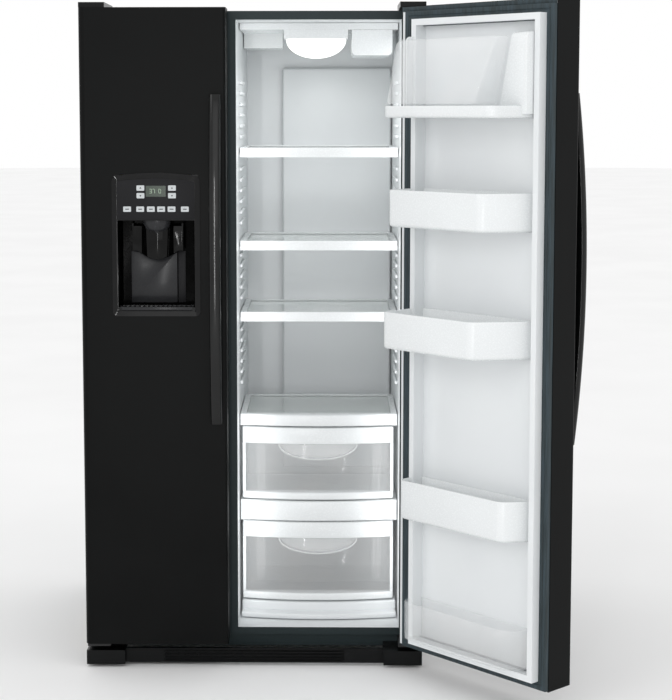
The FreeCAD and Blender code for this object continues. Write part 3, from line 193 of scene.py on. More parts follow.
# %% Trim, vinyl and black plastics
def make_finish(name, dark, light, smooth, matt, grain_mm, relief, strength=0.5, detail=3.0,
                stretch=(1, 1, 1), **shader_values):
    """A finish whose colour, gloss and relief all follow one grain."""
    material, tree, shader = new_material(name, **shader_values)
    grain = noise(tree, grain_mm, detail, stretch)
    tint(tree, shader, grain.outputs["Fac"], dark, light)
    rough_range(tree, shader, grain.outputs["Fac"], smooth, matt)
    bump(tree, shader, grain.outputs["Fac"], relief, strength)
    return material


def make_black_plastic(name, dark, light, smooth, matt, grain_mm, relief, shine):
    return make_finish(name, dark, light, smooth, matt, grain_mm, relief, 0.4, 2.0, IOR=1.52,
                       Specular_IOR_Level=shine)


trim = make_finish("charcoal painted trim", "#222b2d", "#2b3537", 0.38, 0.5, 1.2, 0.04, 0.4, 2.0,
                   IOR=1.5, Specular_IOR_Level=0.2)
vinyl = make_finish("extruded vinyl seal", "#2a3335", "#38444a", 0.45, 0.6, 6, 0.1, 0.3, 3.0,
                    (1, 1, 0.05), IOR=1.53, Specular_IOR_Level=0.25)
satin_black = make_black_plastic("satin black ABS", "#0b0c0c", "#101112",
                                 0.2, 0.32, 0.9, 0.03, 0.14)
gloss_black = make_black_plastic("polished black ABS", "#050506", "#090a0a",
                                 0.05, 0.1, 30, 0.01, 0.12)
handle_black = make_black_plastic("glossy handle ABS", "#080909", "#0d0e0e",
                                  0.08, 0.13, 25, 0.02, 0.3)
print(trim.name, vinyl.name, satin_black.name, gloss_black.name, handle_black.name)

# %% [markdown]
# ## White plastics
# The liners are sheets of high impact polystyrene drawn over a mould, so they have a soft gloss and
# a very slight orange peel. Bins, rims and housings are injection moulded and a touch brighter.

# %% White plastics
def make_white(name, low_colour, high_colour, smooth, matt, peel_mm, relief):
    material, tree, shader = new_material(name, IOR=1.56, Subsurface_Weight=0.05,
                                          Subsurface_Radius=(0.003, 0.003, 0.003),
                                          Subsurface_Scale=1.0)
    peel = noise(tree, peel_mm, 2.0)
    broad = noise(tree, 180, 1.0)
    tint(tree, shader, broad.outputs["Fac"], low_colour, high_colour, 0.1, 0.9)
    rough_range(tree, shader, peel.outputs["Fac"], smooth, matt)
    bump(tree, shader, peel.outputs["Fac"], relief, 0.3)
    return material


liner_white = make_white("drawn white polystyrene", "#dde0e2", "#e3e6e7", 0.3, 0.4, 4, 0.03)
moulded_white = make_white("moulded white plastic", "#dfe2e3", "#e5e8e9", 0.22, 0.3, 3, 0.01)
print(liner_white.name, moulded_white.name)

# %% [markdown]
# ## Clear plastic and glass
# Drawers, the clear bin and the dairy cover are crystal polystyrene, which bends light more than
# glass does. The shelves are tempered soda lime glass, faintly green. Full refraction through many
# thin walls turns dark, so the walls are see-through by their alpha and keep a bright gloss.

# %% Clear materials
def make_clear(name, colour, ior, body, smooth, matt):
    """body is how much of the wall's own colour covers what is behind it."""
    material, tree, shader = new_material(name, IOR=ior, Alpha=body)
    flow = noise(tree, 60, 1.0)
    tint(tree, shader, flow.outputs["Fac"], colour, "#ffffff", 0.1, 0.9)
    rough_range(tree, shader, flow.outputs["Fac"], smooth, matt)
    return material


clear_plastic = make_clear("crystal polystyrene", "#eef2f4", 1.59, 0.17, 0.03, 0.07)
scoop_plastic = make_clear("frosted scoop polystyrene", "#f2f5f6", 1.59, 0.55, 0.03, 0.07)
shelf_glass = make_clear("tempered shelf glass", "#dfeee9", 1.52, 0.3, 0.02, 0.04)
print(clear_plastic.name, shelf_glass.name)


def make_lens():
    """Frosted acrylic, lit from behind by the lamp."""
    material, tree, shader = new_material("frosted lamp acrylic", IOR=1.49,
                                          Emission_Strength=1.0)
    ribs = noise(tree, 5, 1.0, (1, 0.1, 0.1))
    tint(tree, shader, ribs.outputs["Fac"], "#f4f4ee", "#ffffff")
    rough_range(tree, shader, ribs.outputs["Fac"], 0.2, 0.3)
    shader.inputs["Emission Color"].default_value = linear("#fffef8")
    return material


lens_plastic = make_lens()

# %% [markdown]
# ## Metals, foam and small parts
# The parts nobody sees from the front still get their true finishes: galvanised sheet with its
# crystal spangle, black painted coils and compressor, aluminium fins, brass, and the tan foam.

# %% Metals and foam
def make_galvanised():
    material, tree, shader = new_material("galvanised sheet steel", Metallic=1.0)
    place = add_node(tree, "ShaderNodeTexCoord")
    spangle = add_node(tree, "ShaderNodeTexVoronoi", Vector=place.outputs["Object"],
                       Scale=1 / (14 * MM))
    grey = add_node(tree, "ShaderNodeSeparateColor", Color=spangle.outputs["Color"])
    tint(tree, shader, grey.outputs[0], "#8f9396", "#b4b7b9", 0.0, 1.0)
    rough_range(tree, shader, grey.outputs[1], 0.32, 0.5)
    return material


galvanised = make_galvanised()
coil_black = make_finish("black stoved paint", "#0f0f10", "#1b1b1c", 0.35, 0.55, 3, 0.1)
foam_tan = make_finish("rigid foam", "#c9ab6c", "#ddc38a", 0.8, 0.95, 2, 0.4)
fin_metal = make_finish("aluminium fins", "#a9abad", "#c4c6c8", 0.3, 0.45, 5, 0.05, Metallic=1.0)
brass = make_finish("turned brass", "#b08a45", "#c9a45c", 0.25, 0.4, 4, 0.03, Metallic=1.0)
nylon = make_finish("black nylon wheel", "#1c1c1d", "#252627", 0.45, 0.6, 1.5, 0.05)
button_grey = make_finish("light grey button", "#b4b9bb", "#c2c6c8", 0.3, 0.4, 1.0, 0.02,
                          IOR=1.5)


def make_display():
    """A liquid crystal window: grey green, with fine ruling."""
    material, tree, shader = new_material("liquid crystal window", IOR=1.5, Roughness=0.15)
    place = add_node(tree, "ShaderNodeTexCoord")
    rule = add_node(tree, "ShaderNodeTexWave", {"bands_direction": "Z"},
                    Vector=place.outputs["Object"], Scale=1 / (6 * MM))
    tint(tree, shader, rule.outputs["Fac"], "#2a332b", "#3b463c", 0.0, 1.0)
    tree.links.new(shader.inputs["Base Color"].links[0].from_socket,
                   shader.inputs["Emission Color"])
    shader.inputs["Emission Strength"].default_value = 0.15
    return material


lcd = make_display()
print("metals and small parts ready")

# %% [markdown]
# ## Painting the CAD parts
# Each CAD node keeps its shape here and gets the finish of the real part.

# %% Assign the finishes
FINISHES = {
    enamel: ["fridge_door_panel", "freezer_door_panel"],
    trim: ["outer_case", "mullion_cover", "base_frame"],
    vinyl: ["fridge_door_gasket", "freezer_door_gasket"],
    satin_black: ["fridge_door_handle", "freezer_door_handle", "base_grille", "hinge_covers",
                  "evaporator_fan", "condenser_fan"],
    gloss_black: ["dispenser_housing", "dispenser_paddle"],
    liner_white: ["fridge_liner", "freezer_liner", "evaporator_cover", "fridge_door_liner",
                  "freezer_door_liner"],
    moulded_white: ["shelf_frames", "drawer_divider", "ceiling_housing", "water_filter_cover",
                    "freezer_shelves", "ice_maker", "dairy_shelf", "door_bin_upper",
                    "door_bin_middle", "door_bin_lower", "freezer_door_bins"],
    clear_plastic: ["crisper_drawer", "lower_drawer", "dairy_cover", "door_bin_clear"],
    shelf_glass: ["shelf_glass"],
    lens_plastic: ["lamp_lens"],
    galvanised: ["back_panel", "levelling_leg_left", "levelling_leg_right"],
    coil_black: ["hinges", "compressor", "condenser_coil"],
    foam_tan: ["foam_insulation", "fridge_door_foam", "freezer_door_foam"],
    fin_metal: ["evaporator_coil"],
    brass: ["water_inlet_valve"],
    nylon: ["rear_rollers"],
    button_grey: [n for n in frame["nodes"] if n.endswith("_button")],
    lcd: ["dispenser_display"],
}
for material, names in FINISHES.items():
    for name in names:
        painted_part = frame["nodes"][name]
        painted_part.data.materials.clear()
        painted_part.data.materials.append(material)
painted = sum(len(names) for names in FINISHES.values())
print("painted", painted, "of", len(frame["nodes"]), "nodes")

# %% [markdown]
# ## Tools for modelling
# Each new piece starts from a primitive that is added at its size and place and is then shaped in
# edit mode. What an operator works on is chosen by place, so one short function selects faces,
# edges or corners that pass a test, and another adds a modifier and applies it.

# %% Modelling helpers
def clear_selection():
    if bpy.context.object and bpy.context.object.mode == "EDIT":
        bpy.ops.object.mode_set(mode="OBJECT")
    bpy.ops.object.select_all(action="DESELECT")


def named_piece(name):
    """Names the primitive just added and applies its place and size, so its origin is at zero."""
    piece = bpy.context.object
    piece.name = name
    bpy.ops.object.transform_apply(location=True, rotation=True, scale=True)
    return piece


def add_block(name, low, high):
    """A block from corner to corner, in object mode, with nothing else selected."""
    clear_selection()
    low, high = Vector(low), Vector(high)
    bpy.ops.mesh.primitive_cube_add(size=1, location=(low + high) / 2, scale=high - low)
    return named_piece(name)


def add_cylinder(name, **settings):
    """A cylinder at its size and place, in object mode, with nothing else selected."""
    clear_selection()
    bpy.ops.mesh.primitive_cylinder_add(**settings)
    return named_piece(name)


def pick(piece, kind, test):
    """Selects the faces, edges or corners whose middle and direction pass the test."""
    bpy.ops.object.mode_set(mode="EDIT")
    bpy.ops.mesh.select_mode(type=kind)
    bpy.ops.mesh.select_all(action="DESELECT")
    bpy.ops.object.mode_set(mode="OBJECT")
    mesh = piece.data
    if kind == "FACE":
        for face in mesh.polygons:
            face.select = test(face.center, face.normal)
    elif kind == "EDGE":
        for edge in mesh.edges:
            a, b = (mesh.vertices[i].co for i in edge.vertices)
            edge.select = test((a + b) / 2, (b - a).normalized())
    else:
        for corner in mesh.vertices:
            corner.select = test(corner.co, corner.normal)
    bpy.ops.object.mode_set(mode="EDIT")


def modify(piece, kind, **settings):
    """Adds one modifier and applies it."""
    bpy.ops.object.mode_set(mode="OBJECT")
    modifier = piece.modifiers.new(kind.lower(), kind)
    for key, value in settings.items():
        setattr(modifier, key, value)
    bpy.ops.object.modifier_apply(modifier=modifier.name)


def soften(piece, width_mm, segments=3, angle=30):
    """Rounds every edge sharper than angle."""
    modify(piece, "BEVEL", width=width_mm * MM, segments=segments, limit_method="ANGLE",
           angle_limit=math.radians(angle), use_clamp_overlap=True)


def swing_open(piece):
    """Turns a piece modelled with the fresh food door shut out to where the door stands."""
    bpy.ops.object.mode_set(mode="EDIT")
    bpy.ops.mesh.select_all(action="SELECT")
    before = piece.data.vertices[0].co.copy()
    bpy.ops.transform.rotate(value=-door_angle, orient_axis="Z", center_override=door_pin)
    bpy.ops.object.mode_set(mode="OBJECT")
    miss = (swing @ before - piece.data.vertices[0].co).length
    if miss > 1e-4:
        raise ValueError(f"{piece.name} turned the wrong way, off by {miss:.3f} m")


def complete(piece, material, body, slot, *replaced, angle=35):
    """Smooth shading, finish, body and the node that the piece stands for."""
    if piece.mode == "EDIT":
        bpy.ops.object.mode_set(mode="OBJECT")
    bpy.ops.object.select_all(action="DESELECT")
    piece.select_set(True)
    bpy.context.view_layer.objects.active = piece
    bpy.ops.object.shade_smooth_by_angle(angle=math.radians(angle))
    piece.data.materials.clear()
    piece.data.materials.append(material)
    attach(piece, body)
    if replaced:
        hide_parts(*replaced)
    print(piece.name, len(piece.data.polygons), "faces,",
          [round(d * 1000) for d in piece.dimensions], "mm")


def stations(piece):
    """The X of every row of points across a piece that is being edited."""
    piece.update_from_editmode()
    return sorted({round(v.co.x, 5) for v in piece.data.vertices})


def push(x, y, z):
    """Moves whatever is picked."""
    bpy.ops.transform.translate(value=(x, y, z))


def extrude(x, y, z):
    bpy.ops.mesh.extrude_region_move(TRANSFORM_OT_translate={"value": (x, y, z)})


def inset(width):
    bpy.ops.mesh.inset(thickness=width, depth=0)


def round_picked(radius_mm, segments):
    bpy.ops.mesh.bevel(offset=radius_mm * MM, segments=segments)


def lower_rows(piece, fall, test):
    """Lowers the points of each row across that pass the test, by the fall for the row's X."""
    for x in stations(piece):
        drop = fall(x)
        if drop > LEAST_DROP:
            pick(piece, "VERT", lambda c, n: abs(c.x - x) < SAME_ROW and test(c))
            push(0, 0, -drop)


def hollow(piece, wall, depth):
    """Opens a block from above: its top is inset by the wall and pushed down."""
    pick(piece, "FACE", lambda c, n: n.z > 0.99)
    inset(wall)
    extrude(0, 0, -depth)


def join_as(name, parts):
    """Joins small parts of one moulding into one piece."""
    clear_selection()
    for part in parts:
        part.select_set(True)
    bpy.context.view_layer.objects.active = parts[0]
    bpy.ops.object.join()
    parts[0].name = name
    return parts[0]


def vertical(middle, direction):
    return abs(direction.z) > 0.99


def along_x(middle, direction):
    return abs(direction.x) > 0.99


LEAST_DROP = 0.1 * MM
print("modelling helpers ready")


# %% [markdown]
# ## Bowed door handles
# Each handle is one long ABS moulding: a rounded bar that bows away from the door and comes back
# to it in a short foot at each end. A block with rounded long edges is cut into short lengths and
# bent by the Simple Deform modifier, which gives a true arc; the inner faces at both ends are then
# pulled on into the door as feet.

# %% Handles
BAR_THICK = 21 * MM
FOOT = 62 * MM
FOOT_DEPTH = 9 * MM
LENGTHS = 48


def make_handle(name, node, body, opened):
    low, high = square_box(node, opened)
    centre = (low + high) / 2
    length = high.z - low.z
    reach = high.y - low.y
    bow = reach - BAR_THICK + 1 * MM
    half = Vector(((high.x - low.x) / 2, BAR_THICK / 2, length / 2))
    bar = add_block(name, -half, half)
    pick(bar, "EDGE", vertical)
    round_picked(8.5, 5)
    pick(bar, "EDGE", vertical)
    bpy.ops.mesh.subdivide(number_cuts=LENGTHS - 1)
    # a shallow arc of this bow and length turns through eight times their ratio, in radians
    angle = 8 * bow / length
    modify(bar, "SIMPLE_DEFORM", deform_method="BEND", deform_axis="X", angle=angle)
    pick(bar, "FACE", lambda c, n: n.y > 0.85 and abs(c.z) > length / 2 - FOOT)
    extrude(0, FOOT_DEPTH, 0)
    bpy.ops.object.mode_set(mode="OBJECT")
    bar.location = (centre.x, low.y + BAR_THICK / 2, centre.z)
    bpy.ops.object.transform_apply(location=True, rotation=True, scale=True)
    soften(bar, 2.5, 3, 40)
    if opened:
        swing_open(bar)
    complete(bar, handle_black, body, "black_plastic", node)


make_handle("freezer_handle_bar", "freezer_door_handle", "freezer_door", False)
make_handle("fridge_handle_bar", "fridge_door_handle", "fridge_door", True)

# %% [markdown]
# ## Door bins
# The bins are open trays moulded in one piece: thin walls, generous corners so that they lift out
# of the tool, and a free side that slants so that they clear the shelves as the door swings. The
# block's front corner is moved along to slant that side, its corners are rounded, and the top is
# inset by the wall and pushed down to hollow it.

# %% Bins
BIN_SLANT = 0.72     # how far the free side slants, as a share of the bin's depth
BIN_FLOOR = 4 * MM


def make_bin(name, node, material, slot, wall_mm, corner_mm):
    low, high = shut_box(node)
    depth = high.y - low.y
    tray = add_block(name, low, high)
    pick(tray, "VERT", lambda c, n: c.x < low.x + MM and c.y > high.y - MM)
    push(BIN_SLANT * depth, 0, 0)
    pick(tray, "EDGE", lambda c, d: vertical(c, d) and c.y > high.y - MM)
    round_picked(corner_mm, 6)
    pick(tray, "EDGE", lambda c, d: c.z < low.z + MM and c.y > low.y + MM)
    round_picked(9, 4)
    hollow(tray, wall_mm * MM, high.z - low.z - BIN_FLOOR)
    soften(tray, 1.2, 2, 50)
    swing_open(tray)
    complete(tray, material, node, slot, node)


for bin_name in ("upper", "middle", "lower"):
    make_bin(f"{bin_name}_bin_tray", f"door_bin_{bin_name}", moulded_white, "white_plastic",
             3.2, 15)
make_bin("clear_bin_tray", "door_bin_clear", clear_plastic, "clear_plastic", 2.6, 22)

# %% [markdown]
# ## Crisper and lower drawer
# A drawer here is a clear tub between a white top rail and a white bottom lip, with a clear finger
# scoop under the rail. Each is its own moulding, so each is its own piece. Their fronts bow gently,
# which is made by cutting the long front into lengths and pushing the middle ones out.

# %% Drawers
RAIL = 47 * MM
LIP = 20 * MM
POST = 9 * MM
TUB_WALL = 2.5 * MM
TUB_FLOOR = 3 * MM
DRAWER_BULGE = 26 * MM
FRONT_LENGTHS = 16
FRONT_ZONE = 12 * MM     # points this near the front face bow out with it


def bow_front(piece, low, high, bulge, front_y):
    """Pushes the front face's points out towards the room, most at the middle."""
    bpy.ops.object.mode_set(mode="OBJECT")
    middle = (low.x + high.x) / 2
    reach = (high.x - low.x) / 2
    steps = sorted({round(v.co.x, 5) for v in piece.data.vertices if v.co.y < front_y + FRONT_ZONE})
    for x in steps:
        share = 1 - ((x - middle) / reach) ** 2
        if share < 0.01:
            continue
        pick(piece, "VERT",
             lambda c, n: abs(c.x - x) < SAME_ROW and c.y < front_y + FRONT_ZONE)
        push(0, -bulge * share, 0)
    bpy.ops.object.mode_set(mode="OBJECT")


def front_bar(name, low, high, bulge, soft_mm):
    """A bar across the drawer's front whose face bows out."""
    low, high = Vector(low), Vector(high)
    bar = add_block(name, low, high)
    pick(bar, "EDGE", along_x)
    bpy.ops.mesh.subdivide(number_cuts=FRONT_LENGTHS - 1)
    bow_front(bar, low, high, bulge, low.y)
    soften(bar, soft_mm, 3, 40)
    return bar


def make_drawer(label, node):
    low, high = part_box(node)
    front = low.y + 6 * MM
    # the tub
    tub_low = Vector((low.x + 7 * MM, front + 3 * MM, low.z + 4 * MM))
    tub_high = Vector((high.x - 7 * MM, high.y, high.z - RAIL / 2))
    tub = add_block(f"{label}_tub", tub_low, tub_high)
    pick(tub, "EDGE", lambda c, d: along_x(c, d) and c.y < tub_low.y + MM)
    bpy.ops.mesh.subdivide(number_cuts=FRONT_LENGTHS - 1)
    bow_front(tub, tub_low, tub_high, DRAWER_BULGE, tub_low.y)
    pick(tub, "EDGE", lambda c, d: abs(d.y) > 0.9 and c.z < tub_low.z + MM)
    round_picked(16, 4)
    hollow(tub, TUB_WALL, tub_high.z - tub_low.z - TUB_FLOOR)
    soften(tub, 1.0, 2, 50)
    complete(tub, clear_plastic, node, "clear_plastic", node)
    # the rail and the lip
    rail = front_bar(f"{label}_rail", Vector((low.x, front, high.z - RAIL)),
                     Vector((high.x, front + 22 * MM, high.z)), DRAWER_BULGE, 4)
    complete(rail, moulded_white, node, "white_plastic")
    lip = front_bar(f"{label}_lip", Vector((low.x, front, low.z)),
                    Vector((high.x, front + 16 * MM, low.z + LIP)), DRAWER_BULGE, 4)
    complete(lip, moulded_white, node, "white_plastic")
    # the posts beside the window
    for side, x in (("left", low.x), ("right", high.x - POST)):
        post = add_block(f"{label}_post_{side}", (x, front + 1 * MM, low.z + LIP - 2 * MM),
                         (x + POST, front + 14 * MM, high.z - RAIL + 2 * MM))
        soften(post, 2.0, 2)
        complete(post, moulded_white, node, "white_plastic")
    # the finger scoop: the lower half of an oval tube, closed at the back
    middle = (low.x + high.x) / 2
    scoop = add_cylinder(
        f"{label}_scoop", vertices=64, radius=1, depth=1,
        location=(middle, front - 4 * MM, high.z - RAIL),
        rotation=(math.pi / 2, 0, 0), scale=(110 * MM, 46 * MM, 30 * MM))
    bpy.ops.object.mode_set(mode="EDIT")
    bpy.ops.mesh.select_all(action="SELECT")
    bpy.ops.mesh.bisect(plane_co=(0, 0, high.z - RAIL + 1 * MM), plane_no=(0, 0, 1),
                        clear_outer=True)
    pick(scoop, "FACE", lambda c, n: n.y < -0.9)
    bpy.ops.mesh.delete(type="FACE")
    modify(scoop, "SOLIDIFY", thickness=3.2 * MM, offset=-1)
    complete(scoop, scoop_plastic, node, "clear_plastic")


make_drawer("crisper", "crisper_drawer")
make_drawer("lower", "lower_drawer")

# %% [markdown]
# ## Door seal
# A refrigerator seal is one extruded vinyl strip, mitred into a frame, with soft ribs that fold
# against the case. A thin block is inset again and again; every other inset is pushed in, which
# leaves the ribs, and the middle is then opened by bridging the front to the back.

# %% Seals
# each inset of the strip's inner face: how wide it is, and how far its middle sinks (+) or rises
SEAL_STEPS = ((11, 0), (1.5, -2.2), (2.5, 0), (1.5, 2.2), (10, 0), (1.5, -2.2), (2.5, 0),
              (1.5, 2.2), (7.5, 0))
SEAL_WIDTH = sum(width for width, sink in SEAL_STEPS)
RIM_SETBACK = 1.6 * MM
RIM_THICK = 3 * MM


def make_seal(name, node, body, opened):
    low, high = square_box(node, opened)
    seal = add_block(name, low, high)
    depth = high.y - low.y

    def inner_face(c, n):
        return n.y > 0.99 and c.y > low.y + depth * 0.4

    pick(seal, "FACE", inner_face)
    for width, sink in SEAL_STEPS:
        inset(width * MM)
        if sink:
            push(0, sink * MM, 0)
    bpy.ops.mesh.delete(type="FACE")
    pick(seal, "FACE", lambda c, n: n.y < -0.99)
    inset(SEAL_WIDTH * MM)
    bpy.ops.mesh.delete(type="FACE")
    bpy.ops.mesh.select_mode(type="EDGE")
    bpy.ops.mesh.select_all(action="DESELECT")
    bpy.ops.mesh.select_non_manifold()
    bpy.ops.mesh.bridge_edge_loops()
    bpy.ops.mesh.select_all(action="SELECT")
    bpy.ops.mesh.normals_make_consistent(inside=False)
    soften(seal, 0.8, 2, 25)
    if opened:
        swing_open(seal)
    complete(seal, vinyl, body, "grey_vinyl", node)


def make_rim(name, node, body, opened):
    """A dark strip on the door's inner edge, above and below the seal."""
    low, high = square_box(node, opened)
    door_low, door_high = square_box(f"{body}_panel", opened)
    for end, z0, z1 in (("top", high.z, door_high.z - RIM_SETBACK),
                        ("foot", door_low.z + RIM_SETBACK, low.z)):
        strip = add_block(f"{name}_{end}", (door_low.x + RIM_SETBACK, low.y, z0),
                          (door_high.x - RIM_SETBACK, low.y + RIM_THICK, z1))
        soften(strip, 0.8, 2)
        if opened:
            swing_open(strip)
        complete(strip, vinyl, body, "grey_vinyl")


make_rim("fridge_door_rim", "fridge_door_gasket", "fridge_door", True)
make_rim("freezer_door_rim", "freezer_door_gasket", "freezer_door", False)
make_seal("fridge_door_seal", "fridge_door_gasket", "fridge_door", True)
make_seal("freezer_door_seal", "freezer_door_gasket", "freezer_door", False)

# %% [markdown]
# ## Dairy compartment
# A white tray under a clear hood that flips up, between two white cheeks. The free end's cheek is
# thick, and it slants like the hood's side. The hood is a block whose front top edge is drawn back,
# so the front slopes; its corners are rounded, its back and underside are taken away, and the
# Solidify modifier gives what is left a wall. The tray is hollowed like the bins.

# %% Dairy hood and tray
CHEEK = 48 * MM
SLANT = 42 * MM


def make_dairy_hood():
    low, high = shut_box("dairy_cover")
    low = low + Vector((CHEEK + 2 * MM, 0, 0))
    hood = add_block("dairy_hood", low, high)
    pick(hood, "EDGE", lambda c, d: along_x(c, d) and c.z > high.z - MM and c.y > high.y - MM)
    push(0, -35 * MM, 0)
    pick(hood, "VERT", lambda c, n: c.x < low.x + MM and c.z < low.z + MM)
    push(SLANT, 0, 0)
    pick(hood, "EDGE", lambda c, d: along_x(c, d) and c.z > high.z - MM and c.y > low.y + MM)
    round_picked(20, 7)
    pick(hood, "FACE", lambda c, n: n.y < -0.95 or n.z < -0.95)
    bpy.ops.mesh.delete(type="FACE")
    pick(hood, "EDGE", lambda c, d: c.z > low.z + 5 * MM and not along_x(c, d)
         and (c.x < low.x + SLANT + MM or c.x > high.x - MM) and c.y > low.y + 2 * MM)
    round_picked(7, 4)
    modify(hood, "SOLIDIFY", thickness=2.6 * MM, offset=-1)
    swing_open(hood)
    complete(hood, clear_plastic, "dairy_cover", "clear_plastic", "dairy_cover")


def make_dairy_tray():
    low, high = shut_box("dairy_shelf")
    hood_high = shut_box("dairy_cover")[1]
    front = Vector((high.x, high.y, low.z + 30 * MM))
    tray = add_block("dairy_tray", (low.x, low.y, low.z), front)
    pick(tray, "VERT", lambda c, n: c.x < low.x + MM and c.y > high.y - MM)
    push(36 * MM, 0, 0)
    pick(tray, "EDGE", lambda c, d: vertical(c, d) and c.y > high.y - MM)
    round_picked(20, 6)
    pick(tray, "EDGE", lambda c, d: c.z < low.z + MM and c.y > low.y + MM)
    round_picked(7, 3)
    hollow(tray, 4 * MM, 16 * MM)
    soften(tray, 1.5, 2, 50)
    swing_open(tray)
    complete(tray, moulded_white, "fridge_door", "white_plastic", "dairy_shelf")
    for label, x, width in (("free", low.x, CHEEK), ("hinge", hood_high.x - 2 * MM, 5 * MM)):
        cheek = add_block(f"dairy_cheek_{label}", (x, low.y, low.z + 10 * MM),
                          (x + width, low.y + 58 * MM, hood_high.z + 8 * MM))
        if label == "free":
            pick(cheek, "VERT", lambda c, n: c.x > x + MM and c.z < low.z + 11 * MM)
            push(SLANT, 0, 0)
        pick(cheek, "EDGE", lambda c, d: c.y > low.y + 50 * MM and c.z > hood_high.z)
        round_picked(14, 5)
        soften(cheek, 1.5, 2, 50)
        swing_open(cheek)
        complete(cheek, moulded_white, "fridge_door", "white_plastic")


make_dairy_hood()
make_dairy_tray()

# %% [markdown]
# ## Fronts between the drawers
# The crisper's glass cover and the divider below it end in white mouldings that bow in step with
# the drawers, so the same bowed bar is used again.

# %% Cover trim and divider front
cover_low, cover_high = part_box("drawer_divider")
divider = front_bar("divider_front", (cover_low.x, cover_low.y - 2 * MM, cover_low.z + 1 * MM),
                    (cover_high.x, cover_low.y + 20 * MM, cover_high.z - 1 * MM),
                    DRAWER_BULGE - 2 * MM, 5)
complete(divider, moulded_white, "cabinet", "white_plastic")
crisper_low, crisper_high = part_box("crisper_drawer")
trim_top = crisper_high.z + 36 * MM
cover_trim = front_bar("crisper_cover_trim",
                       (cover_low.x, crisper_low.y - 2 * MM, trim_top - 31 * MM),
                       (cover_high.x, crisper_low.y + 18 * MM, trim_top + 1 * MM),
                       DRAWER_BULGE, 5)
complete(cover_trim, moulded_white, "cabinet", "white_plastic")

# %% [markdown]
# ## Ice and water dispenser
# The dispenser is a deep black tub with a proud frame. Its top edge arches, so that edge is cut
# into lengths and lowered towards the corners. The part behind the door skin is drawn in to pass
# through the hole in the door; the front is inset to leave the frame, cut across below the button
# panel, and the lower face is pushed in to make the niche.

# %% Dispenser tub
panel_grey = make_black_plastic("sparked grey ABS panel", "#18181a", "#1e1e20",
                                0.35, 0.5, 0.9, 0.02, 0.13)
piano_black = make_black_plastic("piano black ABS", "#060607", "#0a0a0b",
                                 0.04, 0.09, 30, 0.01, 0.24)
# a darker, nearly unreflecting copy of the tub's black for the niche faces: painted shade in the
# recess
niche_shade_black = make_black_plastic("black ABS darkened as painted niche shade", "#020202", "#040404",
                                 0.12, 0.2, 20, 0.01, 0.03)
lever_black = make_black_plastic("polished lever ABS", "#030303", "#060606",
                                 0.05, 0.09, 30, 0.01, 0.16)
ARCH_LENGTHS = 14
TUB_ARCH = 10 * MM
PANEL_ARCH = 8 * MM
NICHE_DEPTH = 64 * MM


